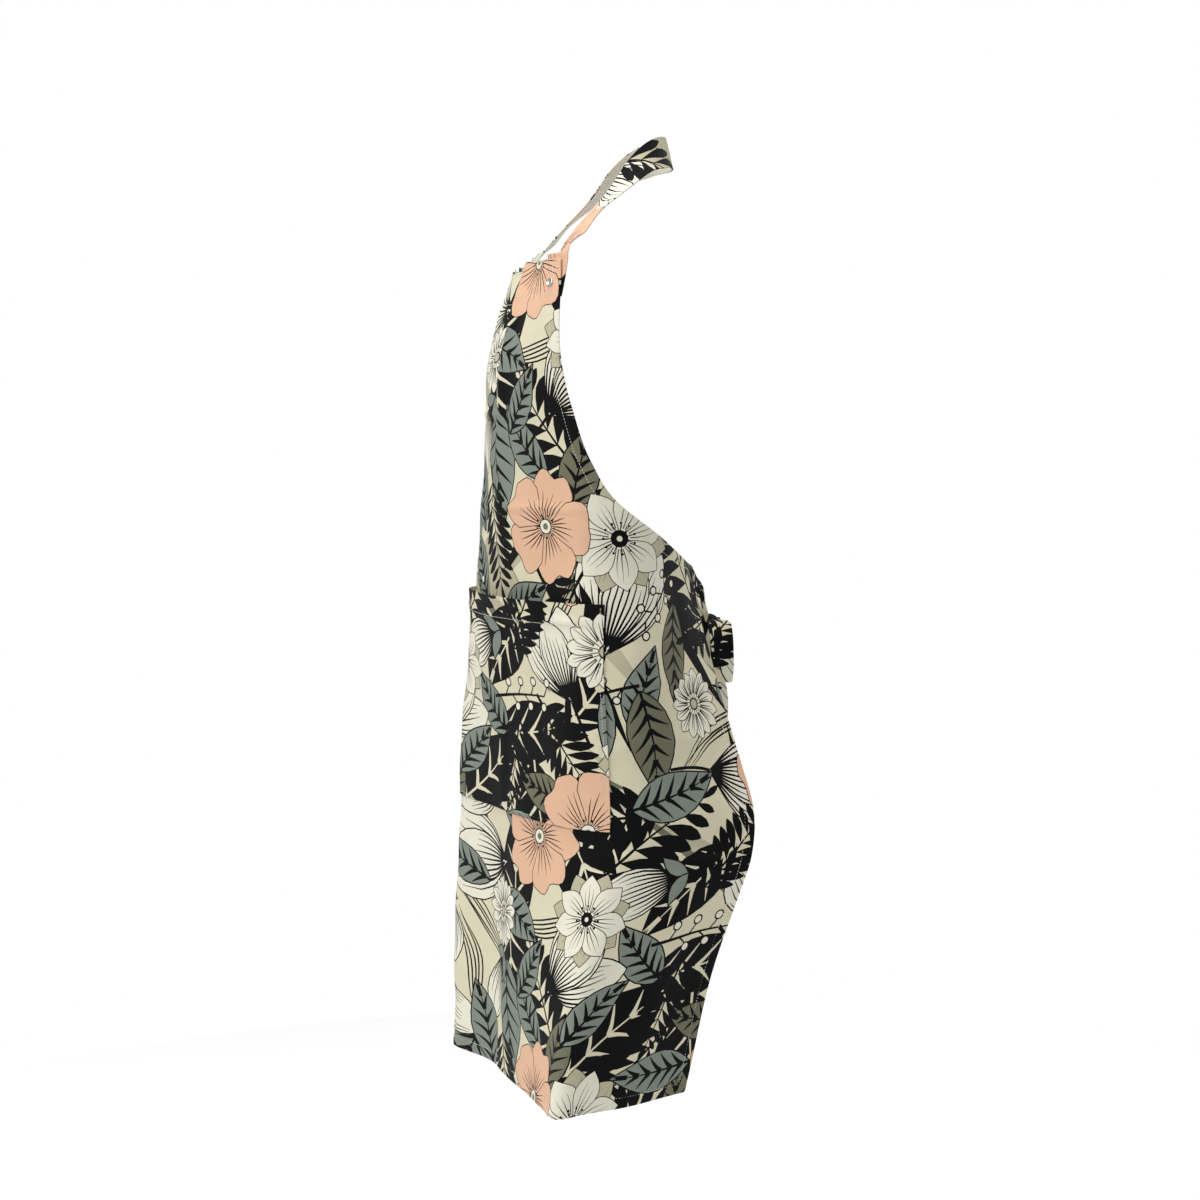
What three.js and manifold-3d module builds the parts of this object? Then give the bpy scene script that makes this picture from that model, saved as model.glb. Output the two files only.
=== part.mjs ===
// A bib apron of printed cotton cloth, in the form that it keeps while it is worn.
// Millimetres, +Z up. The front faces -Y and the left-hand side is at +X.
// The origin is at the nape, on the inner face of the neck strap's middle.
import * as THREE from "three";
import Module from "manifold-3d";

const wasm = await Module();
wasm.setup();

// Cloth, as it is cut and sewn flat
const CLOTH = 1.2;
const PANEL_LENGTH = 935;
const SKIRT_HALF_WIDTH = 370;
const TOP_HEM = 38;
const EDGE_HEM = 12;
const POCKET_DROP = 374;
const POCKET_LENGTH = 250;
const POCKET_HALF_WIDTH = 200;
const MOUTH_HEM = 24;
const STRAP_WIDTH = 36;
const STRAP_THICKNESS = 1.8;
const STRAP_LAP = 40;
const TIE_WIDTH = 26;
const TIE_THICKNESS = 1.6;
const TIE_LAP = 24;

// Press stud that holds the strap's left end
const STUD_RADIUS = 5;
const STUD_DROP = 25;
const STUD_FROM_EDGE = 15;
const STUD_HEIGHT = 1.8;
const POST_RADIUS = 1.8;

// Worn form
const BODY_HALF_WIDTH = 170;
const BODY_HALF_DEPTH = 130;
const NAPE_TO_BIB = 126;
const NAPE_BEHIND_AXIS = 77;
const HANG = 0.979;
const TOP_SAG = 8;
const SAG_FLAT = 20;
const SAG_HALF_WIDTH = 55;
const SAG_DOWN = 0.14;
const POCKET_GAPE = 12;
const POCKET_GAPE_AT = 0.4;
const COLLAR_HALF_WIDTH = 100;
const COLLAR_DEPTH = 122;
const KNOT_BEHIND_NAPE = 50;
const KNOT_BELOW_NAPE = 530;
const KNOT_RADIUS = 12;
const LOOP_DROP = 66;
const LOOP_SPREAD = 44;
const TAIL_LENGTH = 270;

const CLEARANCE = 0.3;
const STEP = 24;

// Rows of a table, each read by the names of its columns
function table(columns, rows) {
  return rows.map((row) => Object.fromEntries(row.map((value, index) => [columns[index], value])));
}

// Plan of the panel at each share of its length: five places on the left half, from the
// front middle round to the back edge, as shares of the body's half width and half depth
const SECTIONS = table(
  ["down", "front", "breastX", "breastY", "cornerX", "cornerY", "sideX", "sideY", "backX", "backY"],
  [
    [0.0, -0.74, 0.4, -0.68, 0.8, -0.53, 1.04, -0.15, 1.0, 0.38],
    [0.11, -0.95, 0.48, -0.83, 0.89, -0.54, 1.04, -0.04, 0.88, 0.54],
    [0.24, -0.98, 0.51, -0.8, 0.92, -0.38, 1.0, 0.15, 0.71, 0.65],
    [0.36, -0.95, 0.52, -0.73, 0.92, -0.31, 0.84, 0.27, 0.34, 0.72],
    [0.46, -0.91, 0.53, -0.66, 1.0, -0.25, 0.93, 0.31, 0.61, 0.69],
    [0.6, -0.88, 0.53, -0.65, 0.99, -0.19, 0.96, 0.4, 0.76, 0.92],
    [0.67, -0.88, 0.53, -0.65, 1.0, -0.15, 0.98, 0.48, 0.85, 1.19],
    [0.705, -0.88, 0.54, -0.66, 1.02, -0.17, 0.99, 0.46, 0.86, 1.23],
    [0.75, -0.88, 0.55, -0.69, 1.04, -0.25, 1.0, 0.36, 0.85, 0.98],
    [0.83, -0.89, 0.56, -0.75, 1.07, -0.42, 1.01, 0.19, 0.82, 0.73],
    [1.0, -0.9, 0.58, -0.78, 1.12, -0.65, 1.02, -0.1, 0.8, 0.41],
  ],
);

// Half width of the cloth at each share of its length, as a share of the skirt's
const ARMHOLE = table(
  ["down", "halfWidth"],
  [
    [0.0, 0.385],
    [0.1, 0.437],
    [0.17, 0.475],
    [0.235, 0.52],
    [0.29, 0.61],
    [0.335, 0.79],
    [0.366, 1.0],
  ],
);
const WAIST = ARMHOLE.at(-1).down;

// Folds stand out from the plan: where they run, as shares of the skirt's half width,
// and how far they stand out, as shares of the body's half depth
const FOLDS = [
  {
    top: -0.17,
    bottom: -0.27,
    width: 0.14,
    depths: table(
      ["down", "depth"],
      [
        [0.0, 0],
        [0.05, 0],
        [0.24, 0.07],
        [0.36, 0.2],
        [0.46, 0.34],
        [0.6, 0.47],
        [0.7, 0.49],
        [0.83, 0.45],
        [1.0, 0.45],
      ],
    ),
  },
  {
    top: 0.115,
    bottom: 0.02,
    width: 0.04,
    depths: table(
      ["down", "depth"],
      [
        [0.0, -0.09],
        [0.06, -0.08],
        [0.2, -0.03],
        [0.36, 0],
        [1.0, 0],
      ],
    ),
  },
  {
    top: 0.165,
    bottom: 0.02,
    width: 0.035,
    depths: table(
      ["down", "depth"],
      [
        [0.0, 0.05],
        [0.06, 0.06],
        [0.2, 0.035],
        [0.36, 0.01],
        [0.42, 0],
        [1.0, 0],
      ],
    ),
  },
  {
    top: 0.54,
    bottom: 0.54,
    width: 0.06,
    depths: table(
      ["down", "depth"],
      [
        [0.0, 0],
        [0.66, 0],
        [0.8, 0.035],
        [1.0, 0.075],
      ],
    ),
  },
  {
    top: 0.54,
    bottom: 0.54,
    width: 0.17,
    depths: table(
      ["down", "depth"],
      [
        [0.0, 0],
        [0.66, 0],
        [0.8, -0.03],
        [1.0, -0.065],
      ],
    ),
  },
];

// Neck strap from the bib's left corner to the nape: its inner face as shares of the collar's
// half width and depth and of the nape's height, and the way that its outer face looks
const STRAP_ROUTE = table(
  ["across", "forward", "drop", "azimuth", "elevation"],
  [
    [1.23, 1.14, 0.95, -72, 10],
    [1.02, 1.01, 0.82, -72, 28],
    [0.88, 0.82, 0.6, -80, 44],
    [0.78, 0.58, 0.38, -64, 50],
    [0.68, 0.37, 0.17, -30, 44],
    [0.44, 0.14, 0.03, 24, 24],
    [0.0, 0.0, 0.0, 90, 12],
  ],
);

// Waist tie between the panel's corner and the knot: the share of that way, how far it stands
// above the straight line as a share of the tie's width, and its own width and thickness
const TIE_ROUTE = table(
  ["along", "above", "width", "thickness"],
  [
    [0.25, 0.14, 0.85, 2.0],
    [0.5, 0.26, 0.62, 6.0],
    [0.75, 0.16, 0.4, 4.0],
    [1.0, 0.0, 0.36, 4.0],
  ],
);

// Bow's loop between its two places on the knot, out and down and back again, as shares of its
// spread and drop, with the angle that its outer face looks in above level
const LOOP_ROUTE = table(
  ["out", "fall", "facing"],
  [
    [0.55, -0.04, 75],
    [0.86, 0.12, 30],
    [0.98, 0.42, 4],
    [0.98, 0.76, -15],
    [0.8, 0.98, -85],
    [0.62, 0.78, -170],
    [0.46, 0.42, -168],
    [0.35, 0.22, -155],
  ],
);

// Tie's free end below the knot, as shares of its length, with its outer face's azimuth
const TAIL_ROUTE = table(
  ["fall", "out", "back", "width", "azimuth"],
  [
    [0.12, 0.022, -0.012, 0.7, 8],
    [0.28, 0.03, 0.028, 0.95, 12],
    [0.45, 0.06, 0.04, 1.0, 42],
    [0.7, 0.085, 0.045, 1.0, 58],
    [1.0, 0.12, 0.03, 1.0, 52],
  ],
);

// Smooth curve through the values that stand at the knots
function smooth(knots, values, at) {
  const last = knots.length - 1;
  const chord = (i) => (values[i + 1] - values[i]) / (knots[i + 1] - knots[i]);
  const slope = (i) => {
    if (i === 0 || i === last) {
      return chord(Math.min(i, last - 1));
    }
    const before = knots[i] - knots[i - 1];
    const after = knots[i + 1] - knots[i];
    return (chord(i - 1) * after + chord(i) * before) / (before + after);
  };
  let i = 0;
  while (i < last - 1 && at > knots[i + 1]) {
    i += 1;
  }
  const span = knots[i + 1] - knots[i];
  const t = (at - knots[i]) / span;
  const rise = t * t * (3 - 2 * t);
  const leave = slope(i) * span * t * (1 - t) * (1 - t);
  const arrive = slope(i + 1) * span * t * t * (t - 1);
  return values[i] + (values[i + 1] - values[i]) * rise + leave + arrive;
}

// Value of a table's column where its first column reads a given number
function read(rows, name, at) {
  const key = Object.keys(rows[0])[0];
  const knots = rows.map((row) => row[key]);
  const limited = THREE.MathUtils.clamp(at, knots[0], knots.at(-1));
  return smooth(knots, rows.map((row) => row[name]), limited);
}

// Numbers from the first break to the last, with every break kept and no step too long
function divide(breaks, step) {
  const sorted = [...new Set(breaks)].sort((a, b) => a - b);
  const numbers = [sorted[0]];
  for (let i = 1; i < sorted.length; i += 1) {
    const span = sorted[i] - sorted[i - 1];
    const count = Math.max(1, Math.ceil(span / step));
    for (let k = 1; k <= count; k += 1) {
      numbers.push(sorted[i - 1] + (span * k) / count);
    }
  }
  return numbers;
}

// Places on the plan's left half at one share of the length, with one more past the back edge
function stations(down) {
  const place = (name) => [
    read(SECTIONS, `${name}X`, down) * BODY_HALF_WIDTH,
    read(SECTIONS, `${name}Y`, down) * BODY_HALF_DEPTH,
  ];
  const front = [0, read(SECTIONS, "front", down) * BODY_HALF_DEPTH];
  const side = place("side");
  const back = place("back");
  const past = [back[0] + (back[0] - side[0]) / 2, back[1] + (back[1] - side[1]) / 2];
  return [front, place("breast"), place("corner"), side, back, past];
}

// Plan of the cloth at one share of the length, as a list of points by distance from the middle
const PLAN_SAMPLES = 240;
const plans = new Map();
function plan(down) {
  if (plans.has(down)) {
    return plans.get(down);
  }
  const half = stations(down);
  const whole = [...half.slice(1).reverse().map(([x, y]) => [-x, y]), ...half];
  const knots = [0];
  for (let i = 1; i < whole.length; i += 1) {
    const chord = Math.hypot(whole[i][0] - whole[i - 1][0], whole[i][1] - whole[i - 1][1]);
    knots.push(knots[i - 1] + Math.sqrt(chord));
  }
  const middle = knots[half.length - 1];
  const points = [];
  let distance = 0;
  for (let k = 0; k <= PLAN_SAMPLES; k += 1) {
    const at = middle + ((knots.at(-1) - middle) * k) / PLAN_SAMPLES;
    const x = smooth(knots, whole.map((point) => point[0]), at);
    const y = smooth(knots, whole.map((point) => point[1]), at);
    if (k > 0) {
      distance += Math.hypot(x - points[k - 1].x, y - points[k - 1].y);
    }
    points.push({ distance, x, y });
  }
  plans.set(down, points);
  return points;
}

// Point of the plan at a signed distance from the middle, before any fold
function planPoint(across, down) {
  const points = plan(down);
  const distance = Math.abs(across);
  let k = 0;
  while (k < points.length - 2 && points[k + 1].distance < distance) {
    k += 1;
  }
  const [a, b] = [points[k], points[k + 1]];
  const t = (distance - a.distance) / (b.distance - a.distance);
  return new THREE.Vector2((a.x + (b.x - a.x) * t) * Math.sign(across || 1), a.y + (b.y - a.y) * t);
}

// Outward direction of a plan curve, by a short step to each side
function outward(curve, across) {
  const reach = 1;
  const along = curve(across + reach).sub(curve(across - reach)).normalize();
  return new THREE.Vector2(along.y, -along.x);
}

function foldDepth(across, down) {
  return FOLDS.reduce((sum, fold) => {
    const middle = (fold.top + (fold.bottom - fold.top) * down) * SKIRT_HALF_WIDTH;
    const offset = (across - middle) / (fold.width * SKIRT_HALF_WIDTH);
    return sum + read(fold.depths, "depth", down) * BODY_HALF_DEPTH * Math.exp(-offset * offset);
  }, 0);
}

function foldedPoint(across, down) {
  const flat = planPoint(across, down);
  const out = outward((at) => planPoint(at, down), across);
  return flat.addScaledVector(out, foldDepth(across, down));
}

// Between the strap's ends the bib's top edge hangs lower
function sag(across, down) {
  const aside = THREE.MathUtils.smoothstep(Math.abs(across), SAG_FLAT, SAG_HALF_WIDTH);
  return TOP_SAG * (1 - aside) * (1 - THREE.MathUtils.smoothstep(down, 0, SAG_DOWN));
}

// Point of the worn cloth: millimetres from its middle line, share of its length from the
// bib's top, and millimetres of lift from its outer face
function clothPoint(across, down, lift) {
  const point = foldedPoint(across, down);
  const out = outward((at) => foldedPoint(at, down), across);
  point.addScaledVector(out, lift);
  const height = -NAPE_TO_BIB - down * PANEL_LENGTH * HANG - sag(across, down);
  return new THREE.Vector3(point.x, point.y - NAPE_BEHIND_AXIS, height);
}

// Direction that the cloth's outer face looks in
function clothFacing(across, down) {
  const reach = 1;
  const fall = reach / PANEL_LENGTH;
  const along = clothPoint(across + reach, down, 0).sub(clothPoint(across - reach, down, 0));
  const below = clothPoint(across, down + fall, 0).sub(clothPoint(across, down - fall, 0));
  return below.cross(along).normalize();
}

function halfWidth(down) {
  return read(ARMHOLE, "halfWidth", down) * SKIRT_HALF_WIDTH;
}

// Width of the side hem measured across, which grows where the armhole's edge runs aslant
function hemReach(down) {
  const reach = 0.005;
  const slope = (halfWidth(down + reach) - halfWidth(down - reach)) / (2 * reach * PANEL_LENGTH);
  return EDGE_HEM * Math.sqrt(1 + slope * slope);
}

// Closed solid between two sides of a grid, where point(i, j, side) gives each corner
function sheet(rowCount, columnCount, point) {
  const positions = [];
  const indices = [];
  const vertex = (i, j, side) => (side * rowCount + i) * columnCount + j;
  for (let side = 0; side < 2; side += 1) {
    for (let i = 0; i < rowCount; i += 1) {
      for (let j = 0; j < columnCount; j += 1) {
        positions.push(...point(i, j, side).toArray());
      }
    }
  }
  const quad = (a, b, c, d) => indices.push(a, b, c, a, c, d);
  const cell = (corners) => {
    quad(...corners.map(([i, j]) => vertex(i, j, 0)));
    const [first, ...others] = corners.map(([i, j]) => vertex(i, j, 1));
    quad(first, ...others.reverse());
  };
  for (let i = 0; i < rowCount - 1; i += 1) {
    for (let j = 0; j < columnCount - 1; j += 1) {
      const inLeftHalf = j >= (columnCount - 1) / 2;
      const [a, b, c, d] = [[i, j], [i + 1, j], [i + 1, j + 1], [i, j + 1]];
      cell(inLeftHalf ? [b, c, d, a] : [c, d, a, b]);
    }
  }
  const edge = (i, j, k, l) => quad(vertex(i, j, 0), vertex(k, l, 0), vertex(k, l, 1), vertex(i, j, 1));
  for (let j = 0; j < columnCount - 1; j += 1) {
    edge(0, j, 0, j + 1);
    edge(rowCount - 1, j + 1, rowCount - 1, j);
  }
  for (let i = 0; i < rowCount - 1; i += 1) {
    edge(i + 1, 0, i, 0);
    edge(i, columnCount - 1, i + 1, columnCount - 1);
  }
  const geometry = new THREE.BufferGeometry();
  geometry.setAttribute("position", new THREE.Float32BufferAttribute(positions, 3));
  geometry.setIndex(indices);
  return faceOut(geometry);
}

// Turns every face round where a closed mesh would otherwise enclose a negative volume
function faceOut(geometry) {
  const [a, b, c] = [new THREE.Vector3(), new THREE.Vector3(), new THREE.Vector3()];
  const { array } = geometry.index;
  const { position } = geometry.attributes;
  let volume = 0;
  for (let i = 0; i < array.length; i += 3) {
    a.fromBufferAttribute(position, array[i]);
    b.fromBufferAttribute(position, array[i + 1]);
    c.fromBufferAttribute(position, array[i + 2]);
    volume += a.dot(b.cross(c));
  }
  if (volume < 0) {
    for (let i = 0; i < array.length; i += 3) {
      [array[i + 1], array[i + 2]] = [array[i + 2], array[i + 1]];
    }
  }
  return geometry;
}

function toManifold(geometry) {
  const mesh = new wasm.Mesh({
    numProp: 3,
    vertProperties: new Float32Array(geometry.attributes.position.array),
    triVerts: new Uint32Array(geometry.index.array),
  });
  return new wasm.Manifold(mesh);
}

function fromManifold(solid) {
  const mesh = solid.getMesh();
  const geometry = new THREE.BufferGeometry();
  geometry.setAttribute("position", new THREE.BufferAttribute(mesh.vertProperties, 3));
  geometry.setIndex(new THREE.BufferAttribute(mesh.triVerts, 1));
  return geometry;
}

// Closed solid turned round the Y axis, with a single point at each end of its profile
function turned(profile, sides) {
  const positions = [];
  const indices = [];
  const inner = profile.slice(1, -1);
  for (const [radius, height] of inner) {
    for (let k = 0; k < sides; k += 1) {
      const angle = (2 * Math.PI * k) / sides;
      positions.push(radius * Math.cos(angle), height, radius * Math.sin(angle));
    }
  }
  const first = positions.length / 3;
  positions.push(0, profile[0][1], 0, 0, profile.at(-1)[1], 0);
  const vertex = (ring, k) => ring * sides + (k % sides);
  for (let k = 0; k < sides; k += 1) {
    indices.push(first, vertex(0, k), vertex(0, k + 1));
    indices.push(first + 1, vertex(inner.length - 1, k + 1), vertex(inner.length - 1, k));
    for (let ring = 0; ring < inner.length - 1; ring += 1) {
      indices.push(vertex(ring, k), vertex(ring + 1, k), vertex(ring + 1, k + 1));
      indices.push(vertex(ring, k), vertex(ring + 1, k + 1), vertex(ring, k + 1));
    }
  }
  const geometry = new THREE.BufferGeometry();
  geometry.setAttribute("position", new THREE.Float32BufferAttribute(positions, 3));
  geometry.setIndex(indices);
  return faceOut(geometry);
}

// Panel: bib and skirt in one cloth, with its hems turned to the inside
const HEM_STEP = 2;
const INNER_HALF = SKIRT_HALF_WIDTH - EDGE_HEM - HEM_STEP;
const ROWS = divide(
  [
    0,
    TOP_HEM,
    TOP_HEM + HEM_STEP,
    ...ARMHOLE.slice(-3).map((row) => row.down * PANEL_LENGTH),
    POCKET_DROP,
    POCKET_DROP + POCKET_LENGTH,
    PANEL_LENGTH - EDGE_HEM - HEM_STEP,
    PANEL_LENGTH - EDGE_HEM,
    PANEL_LENGTH,
  ],
  STEP,
);
const COLUMNS = divide([-INNER_HALF, -POCKET_HALF_WIDTH, 0, POCKET_HALF_WIDTH, INNER_HALF], STEP);

// Distances from the middle of all columns in one row, with two in each side hem
function rowColumns(down) {
  const width = halfWidth(down);
  const hem = width - hemReach(down);
  const inner = COLUMNS.map((across) => (across / INNER_HALF) * (hem - HEM_STEP));
  return [-width, -hem, ...inner, hem, width];
}

function panelGeometry() {
  const columns = ROWS.map((row) => rowColumns(row / PANEL_LENGTH));
  const columnCount = columns[0].length;
  const thickness = (row, j) => {
    const inHem = row <= TOP_HEM || row >= PANEL_LENGTH - EDGE_HEM || j < 2 || j > columnCount - 3;
    return inHem ? 2 * CLOTH : CLOTH;
  };
  return sheet(ROWS.length, columnCount, (i, j, side) => {
    const lift = side === 0 ? 0 : -thickness(ROWS[i], j);
    return clothPoint(columns[i][j], ROWS[i] / PANEL_LENGTH, lift);
  });
}

// Patch pocket on the panel's outer face, sewn at its sides and bottom, gaping at its mouth
function pocketGeometry() {
  const rows = ROWS.filter((row) => row >= POCKET_DROP && row <= POCKET_DROP + POCKET_LENGTH);
  const columns = COLUMNS.filter((across) => Math.abs(across) <= POCKET_HALF_WIDTH);
  const hemRow = rows.findIndex((row) => row >= POCKET_DROP + MOUTH_HEM);
  return sheet(rows.length, columns.length, (i, j, side) => {
    const aside = columns[j] / POCKET_HALF_WIDTH;
    const below = (rows[i] - POCKET_DROP) / POCKET_LENGTH;
    const rise = aside < POCKET_GAPE_AT ? 1 + aside : 1 - aside;
    const share = rise / (aside < POCKET_GAPE_AT ? 1 + POCKET_GAPE_AT : 1 - POCKET_GAPE_AT);
    const gape = POCKET_GAPE * THREE.MathUtils.smoothstep(share, 0, 1) * (1 - below) ** 3;
    const wall = i < hemRow ? 2 * CLOTH : CLOTH;
    const lift = CLEARANCE + gape + (side === 0 ? wall : 0);
    return clothPoint(columns[j], rows[i] / PANEL_LENGTH, lift);
  });
}

// Frames along a free strip of cloth: middle point, outer face's direction, width, thickness
function stripFrames(rows, step) {
  const knots = [0];
  for (let i = 1; i < rows.length; i += 1) {
    knots.push(knots[i - 1] + rows[i].point.distanceTo(rows[i - 1].point));
  }
  const vectorAt = (name, at) => {
    const values = rows.map((row) => row[name].toArray());
    return new THREE.Vector3(...[0, 1, 2].map((k) => smooth(knots, values.map((v) => v[k]), at)));
  };
  const numberAt = (name, at) => smooth(knots, rows.map((row) => row[name]), at);
  const end = knots.at(-1);
  return divide([0, end], step).map((at) => {
    const reach = 0.5;
    const before = vectorAt("point", Math.max(0, at - reach));
    const along = vectorAt("point", Math.min(end, at + reach)).sub(before).normalize();
    const side = along.clone().cross(vectorAt("facing", at)).normalize();
    return {
      point: vectorAt("point", at),
      facing: side.clone().cross(along).normalize(),
      side,
      width: numberAt("width", at),
      thickness: numberAt("thickness", at),
    };
  });
}

// Corner of a strip's frame: share of its width from the middle, and the face that it is on
function framePoint(frame, aside, side) {
  return frame.point
    .clone()
    .addScaledVector(frame.side, aside * frame.width)
    .addScaledVector(frame.facing, (0.5 - side) * frame.thickness);
}

// Direction from two angles in degrees
function direction(azimuth, elevation) {
  const [a, e] = [THREE.MathUtils.degToRad(azimuth), THREE.MathUtils.degToRad(elevation)];
  return new THREE.Vector3(Math.cos(a) * Math.cos(e), Math.sin(a) * Math.cos(e), Math.sin(e));
}

const STRIP_COLUMNS = [-0.5, -0.25, 0, 0.25, 0.5];
const STRIP_STEP = 14;

// Neck strap: its ends lie behind the bib's top corners, and its middle goes round the nape
const STUD_DOWN = STUD_DROP / PANEL_LENGTH;
const STRAP_ACROSS = halfWidth(STUD_DOWN) - STUD_FROM_EDGE;
const STRAP_LIFT = -2 * CLOTH - CLEARANCE;

function strapGeometry() {
  const lapDowns = divide([STRAP_LAP, 0, -STRIP_STEP / 2], STRIP_STEP).reverse();
  const lap = (sign) =>
    lapDowns.map((drop) => (aside, side) => {
      const across = sign * (STRAP_ACROSS + aside * STRAP_WIDTH);
      return clothPoint(across, drop / PANEL_LENGTH, STRAP_LIFT - side * STRAP_THICKNESS);
    });
  const leftRows = STRAP_ROUTE.map((row) => {
    const facing = direction(row.azimuth, row.elevation);
    const inner = new THREE.Vector3(
      row.across * COLLAR_HALF_WIDTH,
      -row.forward * COLLAR_DEPTH,
      -row.drop * NAPE_TO_BIB,
    );
    const point = inner.addScaledVector(facing, STRAP_THICKNESS / 2);
    return { point, facing, width: STRAP_WIDTH, thickness: STRAP_THICKNESS };
  });
  const mirror = (vector) => new THREE.Vector3(-vector.x, vector.y, vector.z);
  const rightRows = leftRows
    .slice(0, -1)
    .reverse()
    .map((row) => ({ ...row, point: mirror(row.point), facing: mirror(row.facing) }));
  const free = stripFrames([...leftRows, ...rightRows], STRIP_STEP);
  const places = [
    ...lap(1),
    ...free.map((frame) => (aside, side) => framePoint(frame, aside, side)),
    ...lap(-1).reverse(),
  ];
  return sheet(places.length, STRIP_COLUMNS.length, (i, j, side) => places[i](STRIP_COLUMNS[j], side));
}

// Press stud: a cap with its post on the bib's face, and the socket behind the strap
const STUD_SIDES = 24;
const BORE_RADIUS = POST_RADIUS + CLEARANCE;
const STACK = 2 * CLOTH + STRAP_THICKNESS + 2 * CLEARANCE;

function studFrame() {
  const across = halfWidth(STUD_DOWN) - STUD_FROM_EDGE;
  const facing = clothFacing(across, STUD_DOWN);
  return {
    position: clothPoint(across, STUD_DOWN, 0),
    quaternion: new THREE.Quaternion().setFromUnitVectors(new THREE.Vector3(0, 1, 0), facing),
  };
}

function capGeometry() {
  const seat = CLEARANCE + sagBelow(STUD_RADIUS);
  return turned(
    [
      [0, seat + STUD_HEIGHT * 0.45],
      [STUD_RADIUS * 0.45, seat + STUD_HEIGHT * 0.45],
      [STUD_RADIUS * 0.6, seat + STUD_HEIGHT * 0.9],
      [STUD_RADIUS * 0.8, seat + STUD_HEIGHT],
      [STUD_RADIUS * 0.97, seat + STUD_HEIGHT * 0.7],
      [STUD_RADIUS, seat + STUD_HEIGHT * 0.35],
      [STUD_RADIUS * 0.92, seat],
      [POST_RADIUS, seat],
      [POST_RADIUS, -STACK - STUD_HEIGHT * 0.8],
      [0, -STACK - STUD_HEIGHT * 0.8],
    ],
    STUD_SIDES,
  );
}

function socketGeometry() {
  const top = -STACK - sagBelow(STUD_RADIUS);
  const ring = turned(
    [
      [0, top],
      [STUD_RADIUS * 0.94, top],
      [STUD_RADIUS, top - STUD_HEIGHT * 0.3],
      [STUD_RADIUS * 0.9, top - STUD_HEIGHT * 0.7],
      [STUD_RADIUS * 0.55, top - STUD_HEIGHT],
      [0, top - STUD_HEIGHT],
    ],
    STUD_SIDES,
  );
  return fromManifold(toManifold(ring).subtract(boreSolid()));
}

// Plain rod through every layer at the stud, for the holes that its post passes through
function boreSolid() {
  const reach = STACK + 3 * STUD_HEIGHT;
  return toManifold(
    turned(
      [
        [0, reach],
        [BORE_RADIUS, reach],
        [BORE_RADIUS, -reach],
        [0, -reach],
      ],
      STUD_SIDES,
    ),
  );
}

// Distance that the round bib falls away under a flat disc's rim, which keeps it clear
function sagBelow(radius) {
  const across = halfWidth(STUD_DOWN) - STUD_FROM_EDGE;
  const facing = clothFacing(across, STUD_DOWN);
  const middle = clothPoint(across, STUD_DOWN, 0);
  const falls = [-radius, radius].flatMap((aside) => [
    clothPoint(across + aside, STUD_DOWN, 0),
    clothPoint(across, STUD_DOWN + aside / PANEL_LENGTH, 0),
  ]);
  return Math.max(...falls.map((point) => Math.abs(point.sub(middle).dot(facing))));
}

function pierced(geometry) {
  const { position, quaternion } = studFrame();
  const matrix = new THREE.Matrix4().compose(position, quaternion, new THREE.Vector3(1, 1, 1));
  return fromManifold(toManifold(geometry).subtract(boreSolid().transform(matrix.elements)));
}

// Knot at the middle of the back, and the strips that leave it
const KNOT = new THREE.Vector3(0, KNOT_BEHIND_NAPE, -KNOT_BELOW_NAPE);
const KNOT_FLATNESS = 0.8;
const KNOT_SIDES = 20;
const KNOT_RINGS = 10;

function knotGeometry() {
  const profile = [];
  for (let ring = 0; ring <= KNOT_RINGS; ring += 1) {
    const angle = Math.PI * (ring / KNOT_RINGS - 0.5);
    profile.push([KNOT_RADIUS * Math.cos(angle), KNOT_RADIUS * Math.sin(angle)]);
  }
  return turned(profile, KNOT_SIDES).scale(1, 1, KNOT_FLATNESS);
}

// Place just off the knot in a given direction
function offKnot(towards) {
  const toward = towards.clone().normalize();
  const scaled = toward.clone().divide(new THREE.Vector3(1, 1, KNOT_FLATNESS));
  return KNOT.clone().addScaledVector(toward, KNOT_RADIUS / scaled.length() + STRIP_END_GAP);
}

function stripGeometry(frames) {
  return sheet(frames.length, 3, (i, j, side) => framePoint(frames[i], (j - 1) / 2, side));
}

// Waist tie: its end lies behind the panel's corner, and it narrows into the knot
const STRIP_END_GAP = 3 * CLEARANCE;
const TIE_DOWN = WAIST + (EDGE_HEM + TIE_WIDTH / 2) / PANEL_LENGTH / 2;
const TIE_MEETS_KNOT = new THREE.Vector3(0.7, -0.5, 0.5);

function tieGeometry(sign) {
  const lift = -2 * CLOTH - CLEARANCE - TIE_THICKNESS / 2;
  const width = halfWidth(TIE_DOWN);
  const lap = [-TIE_LAP, -TIE_LAP / 2, 0].map((inward) => ({
    point: clothPoint(sign * (width + inward), TIE_DOWN, lift),
    facing: clothFacing(sign * (width + inward), TIE_DOWN),
    width: TIE_WIDTH,
    thickness: TIE_THICKNESS,
  }));
  const start = lap.at(-1);
  const end = offKnot(TIE_MEETS_KNOT.clone().multiply(new THREE.Vector3(sign, 1, 1)));
  const free = TIE_ROUTE.map((row) => ({
    point: start.point
      .clone()
      .lerp(end, row.along)
      .add(new THREE.Vector3(0, 0, row.above * TIE_WIDTH)),
    facing: start.facing,
    width: row.width * TIE_WIDTH,
    thickness: row.thickness * TIE_THICKNESS,
  }));
  return stripGeometry(stripFrames([...lap, ...free], STRIP_STEP / 2));
}

// Bow's loop hangs beside the knot with its width from front to back
const LOOP_LEAVES = { x: 0.85, y: 0.4, z: 0.35, facing: 100 };
const LOOP_RETURNS = { x: 0.8, y: 0.4, z: -0.5, facing: -130 };
const LOOP_NECK = 0.6;

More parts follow.
